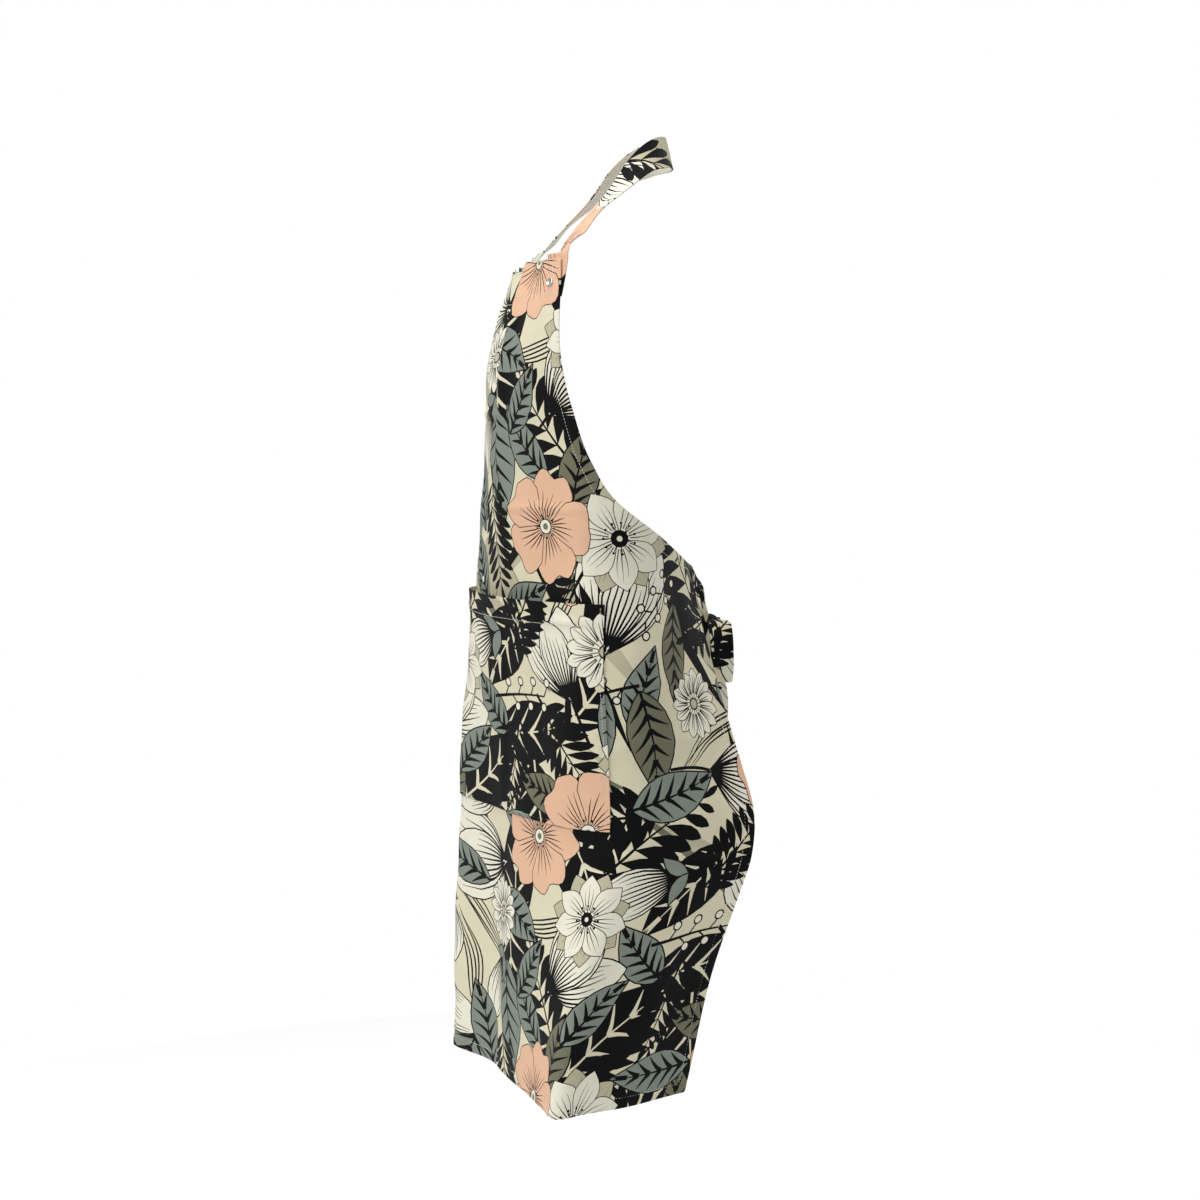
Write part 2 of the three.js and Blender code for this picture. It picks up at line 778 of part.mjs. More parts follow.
function loopGeometry(sign) {
  const facing = (angle) => {
    const turn = direction(angle, 0);
    return new THREE.Vector3(sign * turn.x, 0, turn.y);
  };
  const atKnot = ({ x, y, z, facing: angle }) => ({
    point: offKnot(new THREE.Vector3(sign * x, y, z)),
    facing: facing(angle),
    width: TIE_WIDTH * LOOP_NECK,
    thickness: TIE_THICKNESS,
  });
  const rows = LOOP_ROUTE.map((row) => ({
    point: KNOT.clone().add(
      new THREE.Vector3(sign * row.out * LOOP_SPREAD, KNOT_RADIUS / 2, -row.fall * LOOP_DROP),
    ),
    facing: facing(row.facing),
    width: TIE_WIDTH,
    thickness: TIE_THICKNESS,
  }));
  return stripGeometry(stripFrames([atKnot(LOOP_LEAVES), ...rows, atKnot(LOOP_RETURNS)], STRIP_STEP / 2));
}

const TAIL_LEAVES = new THREE.Vector3(0.35, -0.1, -0.9);

function tailGeometry(sign) {
  const rows = TAIL_ROUTE.map((row) => ({
    point: KNOT.clone().add(
      new THREE.Vector3(sign * row.out * TAIL_LENGTH, row.back * TAIL_LENGTH, -row.fall * TAIL_LENGTH),
    ),
    facing: direction(sign > 0 ? row.azimuth : 180 - row.azimuth, 0),
    width: row.width * TIE_WIDTH,
    thickness: TIE_THICKNESS,
  }));
  const first = {
    ...rows[0],
    point: offKnot(TAIL_LEAVES.clone().multiply(new THREE.Vector3(sign, 1, 1))),
    width: rows[0].width * LOOP_NECK,
  };
  return stripGeometry(stripFrames([first, ...rows], STRIP_STEP / 2));
}

// Materials
const clothMaterial = (color) => new THREE.MeshStandardMaterial({ color, roughness: 0.9, metalness: 0 });
const printed = clothMaterial(0xc9c3a8);
const dark = clothMaterial(0x3a3a36);
const steel = new THREE.MeshStandardMaterial({ color: 0xcfcfc8, roughness: 0.3, metalness: 1 });

const apron = new THREE.Group();

function place(name, geometry, material, { position, quaternion } = {}) {
  const mesh = new THREE.Mesh(geometry, material);
  mesh.name = name;
  if (position) {
    mesh.position.copy(position);
  }
  if (quaternion) {
    mesh.quaternion.copy(quaternion);
  }
  apron.add(mesh);
}

place("apron_panel", pierced(panelGeometry()), printed);
place("pocket", pocketGeometry(), printed);
place("neck_strap", pierced(strapGeometry()), printed);
place("snap_cap", capGeometry(), steel, studFrame());
place("snap_socket", socketGeometry(), steel, studFrame());
place("bow_knot", knotGeometry(), dark, { position: KNOT });
for (const [name, sign] of [
  ["left", 1],
  ["right", -1],
]) {
  place(`waist_tie_${name}`, tieGeometry(sign), dark);
  place(`bow_loop_${name}`, loopGeometry(sign), dark);
  place(`tie_tail_${name}`, tailGeometry(sign), dark);
}

export default apron;
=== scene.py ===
# A bib apron of printed cotton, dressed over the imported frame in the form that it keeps
# while it is worn. Lengths are millimetres until a mesh, a light or the camera is made.
import math

import bmesh
import bpy
import numpy as np
from mathutils import Matrix, Vector
from mathutils.geometry import delaunay_2d_cdt


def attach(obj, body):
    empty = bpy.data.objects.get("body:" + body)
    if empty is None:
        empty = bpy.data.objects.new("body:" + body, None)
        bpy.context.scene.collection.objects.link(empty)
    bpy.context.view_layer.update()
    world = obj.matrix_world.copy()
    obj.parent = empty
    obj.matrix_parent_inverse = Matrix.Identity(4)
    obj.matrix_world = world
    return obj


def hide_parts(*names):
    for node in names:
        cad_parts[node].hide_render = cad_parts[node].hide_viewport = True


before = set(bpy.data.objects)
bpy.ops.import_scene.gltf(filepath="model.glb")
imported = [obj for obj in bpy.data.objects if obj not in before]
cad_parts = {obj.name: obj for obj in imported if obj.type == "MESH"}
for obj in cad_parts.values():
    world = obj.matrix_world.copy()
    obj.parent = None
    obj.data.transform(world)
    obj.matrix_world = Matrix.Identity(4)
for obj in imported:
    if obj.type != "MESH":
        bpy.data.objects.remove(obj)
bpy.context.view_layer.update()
MM = 0.001

# Cloth, as it is cut and sewn flat
CLOTH = 1.2
PANEL_LENGTH = 935
SKIRT_HALF_WIDTH = 370
TOP_HEM = 38
EDGE_HEM = 12
POCKET_DROP = 374
POCKET_LENGTH = 250
POCKET_HALF_WIDTH = 200
MOUTH_HEM = 24
STRAP_WIDTH = 36
STRAP_THICKNESS = 1.8
STRAP_LAP = 40
TIE_WIDTH = 26
TIE_THICKNESS = 1.6
TIE_LAP = 24

# Press stud that holds the strap's left end
STUD_RADIUS = 5
STUD_DROP = 25
STUD_FROM_EDGE = 15
STUD_HEIGHT = 1.8

# Worn form
BODY_HALF_WIDTH = 170
BODY_HALF_DEPTH = 130
NAPE_TO_BIB = 126
NAPE_BEHIND_AXIS = 77
HANG = 0.979
TOP_SAG = 8
SAG_FLAT = 20
SAG_HALF_WIDTH = 55
SAG_DOWN = 0.14
POCKET_GAPE = 12
POCKET_GAPE_AT = 0.4
COLLAR_HALF_WIDTH = 100
COLLAR_DEPTH = 122
KNOT = np.array([0, 50, -530])
KNOT_RADIUS = 12
KNOT_FLATNESS = 0.8
LOOP_DROP = 66
LOOP_SPREAD = 44
TAIL_LENGTH = 270
CLEARANCE = 0.3
HEM_LIFT = 2 * CLOTH

# Camera, as the photograph was taken: degrees round from the front, and millimetres
EYE_AZIMUTH = 80
EYE_DISTANCE = 2500
EYE_HEIGHT = -284
AIM_HEIGHT = -501.8
SENSOR_WIDTH = 36
LENS = 66
FLOOR_HEIGHT = -1450
FLOOR_RADIUS = 1.7


# Rows of a table, each read by the names of its columns
def table(columns, rows):
    return {name: np.array([row[k] for row in rows], float) for k, name in enumerate(columns)}


# Plan of the panel at each share of its length: five places on the left half, from the
# front middle round to the back edge, as shares of the body's half width and half depth
SECTIONS = table(
    ["down", "front", "breastX", "breastY", "cornerX", "cornerY", "sideX", "sideY", "backX", "backY"],
    [
        [0.0, -0.74, 0.4, -0.68, 0.8, -0.53, 1.04, -0.15, 1.0, 0.38],
        [0.11, -0.95, 0.48, -0.83, 0.89, -0.54, 1.04, -0.04, 0.88, 0.54],
        [0.24, -0.98, 0.51, -0.8, 0.92, -0.38, 1.0, 0.15, 0.71, 0.65],
        [0.36, -0.95, 0.52, -0.73, 0.92, -0.31, 0.84, 0.27, 0.34, 0.72],
        [0.46, -0.91, 0.53, -0.66, 1.0, -0.25, 0.93, 0.31, 0.61, 0.69],
        [0.6, -0.88, 0.53, -0.65, 0.99, -0.19, 0.96, 0.4, 0.76, 0.92],
        [0.67, -0.88, 0.53, -0.65, 1.0, -0.15, 0.98, 0.48, 0.85, 1.19],
        [0.705, -0.88, 0.54, -0.66, 1.02, -0.17, 0.99, 0.46, 0.86, 1.23],
        [0.75, -0.88, 0.55, -0.69, 1.04, -0.25, 1.0, 0.36, 0.85, 0.98],
        [0.83, -0.89, 0.56, -0.75, 1.07, -0.42, 1.01, 0.19, 0.82, 0.73],
        [1.0, -0.9, 0.58, -0.78, 1.12, -0.65, 1.02, -0.1, 0.8, 0.41],
    ],
)

# Half width of the cloth at each share of its length, as a share of the skirt's
ARMHOLE = table(
    ["down", "halfWidth"],
    [
        [0.0, 0.385],
        [0.1, 0.437],
        [0.17, 0.475],
        [0.235, 0.52],
        [0.29, 0.61],
        [0.335, 0.79],
        [0.366, 1.0],
    ],
)
WAIST = ARMHOLE["down"][-1]

# Folds stand out from the plan: where they run, as shares of the skirt's half width, and how
# far they stand out at some shares of the length, as shares of the body's half depth
FOLDS = [
    {
        "top": -0.17,
        "bottom": -0.27,
        "width": 0.14,
        "down": [0, 0.05, 0.24, 0.36, 0.46, 0.6, 0.7, 0.83, 1],
        "depth": [0, 0, 0.07, 0.2, 0.34, 0.47, 0.49, 0.45, 0.45],
    },
    {
        "top": 0.115,
        "bottom": 0.02,
        "width": 0.04,
        "down": [0, 0.06, 0.2, 0.36, 1],
        "depth": [-0.09, -0.08, -0.03, 0, 0],
    },
    {
        "top": 0.165,
        "bottom": 0.02,
        "width": 0.035,
        "down": [0, 0.06, 0.2, 0.36, 0.42, 1],
        "depth": [0.05, 0.06, 0.035, 0.01, 0, 0],
    },
    {
        "top": 0.54,
        "bottom": 0.54,
        "width": 0.06,
        "down": [0, 0.66, 0.8, 1],
        "depth": [0, 0, 0.035, 0.075],
    },
    {
        "top": 0.54,
        "bottom": 0.54,
        "width": 0.17,
        "down": [0, 0.66, 0.8, 1],
        "depth": [0, 0, -0.03, -0.065],
    },
]

# Neck strap from the bib's left corner to the nape: its inner face as shares of the collar's
# half width and depth and of the nape's height, and the way that its outer face looks
STRAP_ROUTE = table(
    ["across", "forward", "drop", "azimuth", "elevation"],
    [
        [1.23, 1.14, 0.95, -72, 10],
        [1.02, 1.01, 0.82, -72, 28],
        [0.88, 0.82, 0.6, -80, 44],
        [0.78, 0.58, 0.38, -64, 50],
        [0.68, 0.37, 0.17, -30, 44],
        [0.44, 0.14, 0.03, 24, 24],
        [0.0, 0.0, 0.0, 90, 12],
    ],
)

# Waist tie between the panel's corner and the knot: the share of that way, how far it stands
# above the straight line as a share of the tie's width, and its own width and thickness
TIE_ROUTE = table(
    ["along", "above", "width", "thickness"],
    [
        [0.25, 0.14, 0.85, 2.0],
        [0.5, 0.26, 0.62, 6.0],
        [0.75, 0.16, 0.4, 4.0],
        [1.0, 0.0, 0.36, 4.0],
    ],
)

# Bow's loop between its two places on the knot, out and down and back again, as shares of its
# spread and drop, with the angle that its outer face looks in above level
LOOP_ROUTE = table(
    ["out", "fall", "facing"],
    [
        [0.55, -0.04, 75],
        [0.86, 0.12, 30],
        [0.98, 0.42, 4],
        [0.98, 0.76, -15],
        [0.8, 0.98, -85],
        [0.62, 0.78, -170],
        [0.46, 0.42, -168],
        [0.35, 0.22, -155],
    ],
)

# Tie's free end below the knot, as shares of its length, with its outer face's azimuth
TAIL_ROUTE = table(
    ["fall", "out", "back", "width", "azimuth"],
    [
        [0.12, 0.022, -0.012, 0.7, 8],
        [0.28, 0.03, 0.028, 0.95, 12],
        [0.45, 0.06, 0.04, 1.0, 42],
        [0.7, 0.085, 0.045, 1.0, 58],
        [1.0, 0.12, 0.03, 1.0, 52],
    ],
)


# Smooth curve through the values that stand at the knots
def smooth(knots, values, at):
    knots, values = np.asarray(knots, float), np.asarray(values, float)
    spans = np.diff(knots)
    chords = (np.diff(values, axis=0).T / spans).T
    slopes = np.empty_like(values)
    slopes[0], slopes[-1] = chords[0], chords[-1]
    before, after = spans[:-1], spans[1:]
    slopes[1:-1] = ((chords[:-1].T * after + chords[1:].T * before) / (before + after)).T
    at = np.asarray(at, float)
    i = np.clip(np.searchsorted(knots, at, side="right") - 1, 0, len(spans) - 1)
    span = spans[i]
    t = (at - knots[i]) / span
    rise = t * t * (3 - 2 * t)
    leave = span * t * (1 - t) * (1 - t)
    arrive = span * t * t * (t - 1)
    blend = (values[i].T * (1 - rise) + values[i + 1].T * rise).T
    return blend + (slopes[i].T * leave + slopes[i + 1].T * arrive).T


def read(rows, name, at):
    knots = next(iter(rows.values()))
    return smooth(knots, rows[name], np.clip(at, knots[0], knots[-1]))


# Vectors at a length of one; a vector without a length stays as it is
def unit(vectors):
    lengths = np.linalg.norm(vectors, axis=-1, keepdims=True)
    return vectors / np.where(lengths > 0, lengths, 1)


# Level directions to the right of the given ones
def right_of(along):
    return np.stack([along[..., 1], -along[..., 0]], axis=-1)


def smoothstep(share):
    share = np.clip(share, 0, 1)
    return share * share * (3 - 2 * share)


# Direction from two angles in degrees
def direction(azimuth, elevation):
    a, e = np.broadcast_arrays(np.radians(azimuth), np.radians(elevation))
    return np.stack([np.cos(a) * np.cos(e), np.sin(a) * np.cos(e), np.sin(e)], axis=-1)


# Numbers from low to high in equal steps no longer than the given one
def steps(low, high, step):
    return np.linspace(low, high, max(1, math.ceil((high - low) / step)) + 1)


# Plan curve of the cloth at one share of the length: the distances from its middle and points
PLAN_SAMPLES = 240


def plan(down):
    def place(name):
        return [
            read(SECTIONS, f"{name}X", down) * BODY_HALF_WIDTH,
            read(SECTIONS, f"{name}Y", down) * BODY_HALF_DEPTH,
        ]

    front = [0, read(SECTIONS, "front", down) * BODY_HALF_DEPTH]
    half = np.array([front, place("breast"), place("corner"), place("side"), place("back")])
    half = np.vstack([half, half[-1] + (half[-1] - half[-2]) / 2])
    whole = np.vstack([half[:0:-1] * [-1, 1], half])
    knots = np.concatenate([[0], np.cumsum(np.linalg.norm(np.diff(whole, axis=0), axis=1) ** 0.5)])
    at = np.linspace(knots[len(half) - 1], knots[-1], PLAN_SAMPLES + 1)
    points = smooth(knots, whole, at)
    distances = np.concatenate([[0], np.cumsum(np.linalg.norm(np.diff(points, axis=0), axis=1))])
    return distances, points


def plan_points(curve, across):
    distances, points = curve
    x = np.interp(np.abs(across), distances, points[:, 0]) * np.sign(across)
    return np.stack([x, np.interp(np.abs(across), distances, points[:, 1])], axis=-1)


# Outward direction of a plan curve, by a short step to each side
def outward(curve, across):
    reach = 1
    return right_of(unit(curve(across + reach) - curve(across - reach)))


def fold_depth(across, down):
    depth = np.zeros_like(across)
    for fold in FOLDS:
        middle = (fold["top"] + (fold["bottom"] - fold["top"]) * down) * SKIRT_HALF_WIDTH
        offset = (across - middle) / (fold["width"] * SKIRT_HALF_WIDTH)
        height = smooth(fold["down"], fold["depth"], np.clip(down, 0, 1)) * BODY_HALF_DEPTH
        depth += height * np.exp(-offset * offset)
    return depth


# Between the strap's ends the bib's top edge hangs lower
def sag(across, down):
    aside = smoothstep((np.abs(across) - SAG_FLAT) / (SAG_HALF_WIDTH - SAG_FLAT))
    return TOP_SAG * (1 - aside) * (1 - smoothstep(down / SAG_DOWN))


# One row of the worn cloth: its outer face's points, and the level directions out of it
def cloth_row(across, down):
    curve = plan(down)

    def plain(at):
        return plan_points(curve, at)

    def folded(at):
        return plain(at) + outward(plain, at) * fold_depth(at, down)[:, None]

    points, out = folded(across), outward(folded, across)
    height = -NAPE_TO_BIB - down * PANEL_LENGTH * HANG - sag(across, down)
    points = np.column_stack([points[:, 0], points[:, 1] - NAPE_BEHIND_AXIS, height])
    return points, np.column_stack([out, np.zeros(len(across))])


def half_width(drop):
    return read(ARMHOLE, "halfWidth", np.asarray(drop) / PANEL_LENGTH) * SKIRT_HALF_WIDTH


# Worn cloth over its flat cut: a point and the outer face's normal for every flat place
class Surface:
    def __init__(self, across, drops, points):
        self.across, self.drops, self.points = across, drops, points
        normals = np.cross(np.gradient(points, drops, axis=0), np.gradient(points, across, axis=1))
        self.normals = unit(normals)

    def sample(self, grid, flat):
        i = np.interp(flat[:, 1], self.drops, np.arange(len(self.drops)))
        j = np.interp(flat[:, 0], self.across, np.arange(len(self.across)))
        i0 = np.minimum(i.astype(int), len(self.drops) - 2)
        j0 = np.minimum(j.astype(int), len(self.across) - 2)
        s, t = (i - i0)[:, None], (j - j0)[:, None]
        top = grid[i0, j0] * (1 - t) + grid[i0, j0 + 1] * t
        low = grid[i0 + 1, j0] * (1 - t) + grid[i0 + 1, j0 + 1] * t
        return top * (1 - s) + low * s

    def point(self, flat):
        return self.sample(self.points, flat)

    def normal(self, flat):
        return unit(self.sample(self.normals, flat))


# Surface of a piece that lies on the body's form, lifted by a function of the flat place
def draped(across, drops, lift):
    rows = [cloth_row(across, drop / PANEL_LENGTH) for drop in drops]
    places = [np.column_stack([across, np.full(len(across), drop)]) for drop in drops]
    points = [p + out * lift(place)[:, None] for (p, out), place in zip(rows, places)]
    return Surface(across, drops, np.array(points))


GRAIN = 2
PANEL_ACROSS = steps(-SKIRT_HALF_WIDTH, SKIRT_HALF_WIDTH, GRAIN)
POCKET_ACROSS = steps(-POCKET_HALF_WIDTH, POCKET_HALF_WIDTH, GRAIN)


# Free strip of cloth between two sets of frames: middle points, the outer face's directions,
# widths and thicknesses, read at equal steps along it
def strip_frames(points, facings, widths, thicknesses, step):
    knots = np.concatenate([[0], np.cumsum(np.linalg.norm(np.diff(points, axis=0), axis=1))])
    at = steps(0, knots[-1], step)
    reach = 0.5
    middle = smooth(knots, points, at)
    ahead = smooth(knots, points, np.minimum(at + reach, knots[-1]))
    behind = smooth(knots, points, np.maximum(at - reach, 0))
    along = unit(ahead - behind)
    side = unit(np.cross(along, smooth(knots, facings, at)))
    return {
        "middle": middle,
        "side": side,
        "facing": unit(np.cross(side, along)),
        "width": smooth(knots, widths, at),
        "thickness": smooth(knots, thicknesses, at),
    }


# Surface of a strip whose rows are outer points, from one edge of the strip to the other
def strip_surface(rows, width):
    points = np.array(rows)
    middle = points[:, points.shape[1] // 2]
    along = np.concatenate([[0], np.cumsum(np.linalg.norm(np.diff(middle, axis=0), axis=1))])
    return Surface(np.linspace(-width / 2, width / 2, points.shape[1]), along, points)


# Shares of a strip's width from one edge to the other, in the order that faces it outward
STRIP_SHARES = np.linspace(0.5, -0.5, 19)


def frame_rows(frames, relief):
    rows = []
    for k, (middle, side, facing) in enumerate(zip(frames["middle"], frames["side"], frames["facing"])):
        width, thickness = frames["width"][k], frames["thickness"][k]
        out = thickness / 2 + relief(k, STRIP_SHARES, width, thickness)
        rows.append(middle + np.outer(STRIP_SHARES * width, side) + np.outer(out, facing))
    return rows


# Neck strap: its ends lie behind the bib's top corners and stand a little above them, and its
# middle goes round the nape
STRIP_STEP = 3
STRAP_STANDS = 7
STRAP_ACROSS = half_width(STUD_DROP) - STUD_FROM_EDGE
STRAP_LIFT = -HEM_LIFT - CLEARANCE


def strap_surface():
    def lap(sign):
        rows = []
        for drop in steps(-STRAP_STANDS, STRAP_LAP, STRIP_STEP)[::-1]:
            across = sign * (STRAP_ACROSS + STRIP_SHARES * STRAP_WIDTH)
            points, out = cloth_row(across, drop / PANEL_LENGTH)
            rows.append(points + out * STRAP_LIFT)
        return rows

    facings = direction(STRAP_ROUTE["azimuth"], STRAP_ROUTE["elevation"])
    inner = np.column_stack(
        [
            STRAP_ROUTE["across"] * COLLAR_HALF_WIDTH,
            -STRAP_ROUTE["forward"] * COLLAR_DEPTH,
            -STRAP_ROUTE["drop"] * NAPE_TO_BIB,
        ]
    )
    points = inner + facings * STRAP_THICKNESS / 2
    mirror = np.array([-1, 1, 1])
    points = np.vstack([points, points[-2::-1] * mirror])
    facings = np.vstack([facings, facings[-2::-1] * mirror])
    count = len(points)
    frames = strip_frames(
        points, facings, np.full(count, STRAP_WIDTH), np.full(count, STRAP_THICKNESS), STRIP_STEP
    )
    free = frame_rows(frames, lambda k, shares, width, thickness: strap_relief(shares))
    return strip_surface(lap(1) + free + lap(-1)[::-1], STRAP_WIDTH)


# A sewn strap is full in its middle and drawn in along its two stitch lines
STRAP_STITCH = 0.42
STRAP_GROOVE = 0.35
STRAP_FULLNESS = 0.25


def strap_relief(shares):
    offset = (np.abs(shares) - STRAP_STITCH) * STRAP_WIDTH
    return STRAP_FULLNESS * np.cos(np.pi * shares) - STRAP_GROOVE * np.exp(-(offset**2))


# Place just off the knot in a given direction
STRIP_END_GAP = 3 * CLEARANCE


def off_knot(toward):
    toward = unit(np.asarray(toward, float))
    scaled = toward / [1, 1, KNOT_FLATNESS]
    return KNOT + toward * (KNOT_RADIUS / np.linalg.norm(scaled) + STRIP_END_GAP)


# Wrinkles that run along a soft strip: full near the knot that gathers it
WRINKLE_WAVES = 3
WRINKLE_DRIFT = 0.04
WRINKLE_FULLNESS = 1.3


def gathered(sign, seed, pleats, depth):
    generator = np.random.default_rng(seed + sign)
    phases = generator.uniform(0, 2 * math.pi, WRINKLE_WAVES)
    drift = generator.uniform(-WRINKLE_DRIFT, WRINKLE_DRIFT, WRINKLE_WAVES)

    def relief(k, shares, width, thickness):
        waves = sum(
            np.sin(2 * math.pi * (pleats + n) * shares + phase + lean * k)
            for n, (phase, lean) in enumerate(zip(phases, drift))
        )
        return waves / WRINKLE_WAVES * depth * (WRINKLE_FULLNESS - width / TIE_WIDTH)

    return relief


TIE_DROP = WAIST * PANEL_LENGTH + (EDGE_HEM + TIE_WIDTH / 2) / 2
TIE_MEETS_KNOT = np.array([0.7, -0.5, 0.5])


def tie_surface(sign):
    lift = -HEM_LIFT - CLEARANCE - TIE_THICKNESS / 2
    width = half_width(TIE_DROP)
    places = sign * (width + np.array([-TIE_LAP, -TIE_LAP / 2, 0]))
    points, out = cloth_row(places, TIE_DROP / PANEL_LENGTH)
    above, _ = cloth_row(places, (TIE_DROP - 1) / PANEL_LENGTH)
    beyond, _ = cloth_row(places + 1, TIE_DROP / PANEL_LENGTH)
    facing = unit(np.cross(points - above, beyond - points))
    points = points + out * lift
    end = off_knot(TIE_MEETS_KNOT * [sign, 1, 1])
    share = TIE_ROUTE["along"][:, None]
    free = points[-1] * (1 - share) + end * share
    free[:, 2] += TIE_ROUTE["above"] * TIE_WIDTH
    count = len(free)
    frames = strip_frames(
        np.vstack([points, free]),
        np.vstack([facing, np.repeat(facing[-1:], count, axis=0)]),
        np.concatenate([[TIE_WIDTH] * 3, TIE_ROUTE["width"] * TIE_WIDTH]),
        np.concatenate([[TIE_THICKNESS] * 3, TIE_ROUTE["thickness"] * TIE_THICKNESS]),
        STRIP_STEP,
    )
    return strip_surface(frame_rows(frames, bunched), TIE_WIDTH)


# Where the tie is drawn narrow its cloth stands in pleats: their number, and their depth as a
# share of the room that the tie takes beyond its cloth
TIE_PLEATS = 1.5
TIE_PLEAT_DEPTH = 0.22


def bunched(k, shares, width, thickness):
    depth = (thickness - TIE_THICKNESS) * TIE_PLEAT_DEPTH
    return depth * np.cos(2 * math.pi * TIE_PLEATS * shares)


# Bow's loop hangs beside the knot with its width from front to back
LOOP_LEAVES = {"toward": [0.85, 0.4, 0.35], "facing": 100}
LOOP_RETURNS = {"toward": [0.8, 0.4, -0.5], "facing": -130}
LOOP_NECK = 0.6
LOOP_WRINKLES = {"seed": 4, "pleats": 1.5, "depth": 1.6}


def loop_surface(sign):
    def facing(angle):
        turn = direction(angle, 0)
        return np.stack([sign * turn[..., 0], np.zeros(np.shape(angle)), turn[..., 1]], axis=-1)

    ends = [LOOP_LEAVES, LOOP_RETURNS]
    first, last = [off_knot(np.array(end["toward"]) * [sign, 1, 1]) for end in ends]
    turned = [facing(end["facing"]) for end in ends]
    count = len(LOOP_ROUTE["out"])
    route = KNOT + np.column_stack(
        [
            sign * LOOP_ROUTE["out"] * LOOP_SPREAD,
            np.full(count, KNOT_RADIUS / 2),
            -LOOP_ROUTE["fall"] * LOOP_DROP,
        ]
    )
    widths = np.array([LOOP_NECK] + [1] * count + [LOOP_NECK]) * TIE_WIDTH
    frames = strip_frames(
        np.vstack([first, route, last]),
        np.vstack([turned[0], facing(LOOP_ROUTE["facing"]), turned[1]]),
        widths,
        np.full(count + 2, TIE_THICKNESS),
        STRIP_STEP,
    )
    return strip_surface(frame_rows(frames, gathered(sign, **LOOP_WRINKLES)), TIE_WIDTH)


TAIL_LEAVES = np.array([0.35, -0.1, -0.9])
TAIL_WRINKLES = {"seed": 8, "pleats": 1, "depth": 1.2}


def tail_surface(sign):
    rows = TAIL_ROUTE
    points = KNOT + np.column_stack([sign * rows["out"], rows["back"], -rows["fall"]]) * TAIL_LENGTH
    azimuth = rows["azimuth"] if sign > 0 else 180 - rows["azimuth"]
    facings = direction(azimuth, np.zeros(len(azimuth)))
    widths = rows["width"] * TIE_WIDTH
    frames = strip_frames(
        np.vstack([off_knot(TAIL_LEAVES * [sign, 1, 1]), points]),
        np.vstack([facings[:1], facings]),
        np.concatenate([widths[:1] * LOOP_NECK, widths]),
        np.full(len(widths) + 1, TIE_THICKNESS),
        STRIP_STEP,
    )
    return strip_surface(frame_rows(frames, gathered(sign, **TAIL_WRINKLES)), TIE_WIDTH)


# Flat shapes, as lists of corners counter-clockwise in the cloth's own axes
def signed_area(corners):
    x, y = corners[:, 0], corners[:, 1]
    return (x * np.roll(y, -1) - np.roll(x, -1) * y).sum() / 2


def counter_clockwise(corners):
    return corners if signed_area(corners) > 0 else corners[::-1]


def inside(corners, points):
    crossed = np.zeros(len(points), bool)
    for (ax, ay), (bx, by) in zip(corners, np.roll(corners, -1, axis=0)):
        if ay == by:
            continue
        spans = (ay > points[:, 1]) != (by > points[:, 1])
        crossed ^= spans & (points[:, 0] < ax + (points[:, 1] - ay) * (bx - ax) / (by - ay))
    return crossed


# Number of the last shape that holds each point, or -1
def uppermost(shapes, points):
    order = np.argsort(points[:, 0])
    ranked = points[order]
    top = np.full(len(points), -1)
    for number, shape in enumerate(shapes):
        (left, low), (right, high) = shape.min(axis=0), shape.max(axis=0)
        first, last = np.searchsorted(ranked[:, 0], [left, right])
        near = first + np.flatnonzero((ranked[first:last, 1] > low) & (ranked[first:last, 1] < high))
        top[near[inside(shape, ranked[near])]] = number
    numbers = np.empty_like(top)
    numbers[order] = top
    return numbers


# Points at an even pitch inside an outline, none of them close to its corners
def lattice(corners, pitch):
    low, high = corners.min(axis=0), corners.max(axis=0)
    x, y = np.meshgrid(*[np.arange(low[k] + pitch / 2, high[k], pitch) for k in (0, 1)])
    points = np.column_stack([x.ravel(), y.ravel()])
    points = points[inside(corners, points)]
    gap = np.full(len(points), np.inf)
    for corner in corners:
        gap = np.minimum(gap, np.abs(points - corner).max(axis=1))
    return points[gap > pitch / 3]


# Line through given places with a point at least every so many millimetres
def dense(corners, step):
    pieces = [
        np.linspace(a, b, max(1, math.ceil(np.linalg.norm(b - a) / step)), endpoint=False)
        for a, b in zip(corners, corners[1:])
    ]
    return np.vstack([*pieces, corners[-1:]])


WELD = 1e-4


# Edges of closed loops whose corners are numbered one loop after another
def loop_edges(loops):
    starts = np.concatenate([[0], np.cumsum([len(loop) for loop in loops])])
    return [(a + k, a + (k + 1) % (b - a)) for a, b in zip(starts, starts[1:]) for k in range(b - a)]


def triangulated(points, edges):
    corners, _, triangles, origins, _, _ = delaunay_2d_cdt(
        [Vector(point) for point in points.tolist()], edges, [], 0, WELD
    )
    return np.array([corner[:] for corner in corners]), np.array(triangles), origins


# Edges that part two triangles of unlike kinds
def parting_edges(triangles, kinds):
    a, b = triangles.ravel(), np.roll(triangles, -1, axis=1).ravel()
    kind = np.repeat(kinds, 3)
    count = triangles.max() + 1
    order = np.argsort(a * count + b)
    ahead = (a * count + b)[order]
    found = np.minimum(np.searchsorted(ahead, b * count + a), len(order) - 1)
    beyond = np.where(ahead[found] == b * count + a, kind[order[found]], kind)
    return np.column_stack([a, b])[(beyond != kind) & (a < b)]


# Edges in pieces no longer than the longest seam, and their points with those between added
LONGEST_SEAM = 8


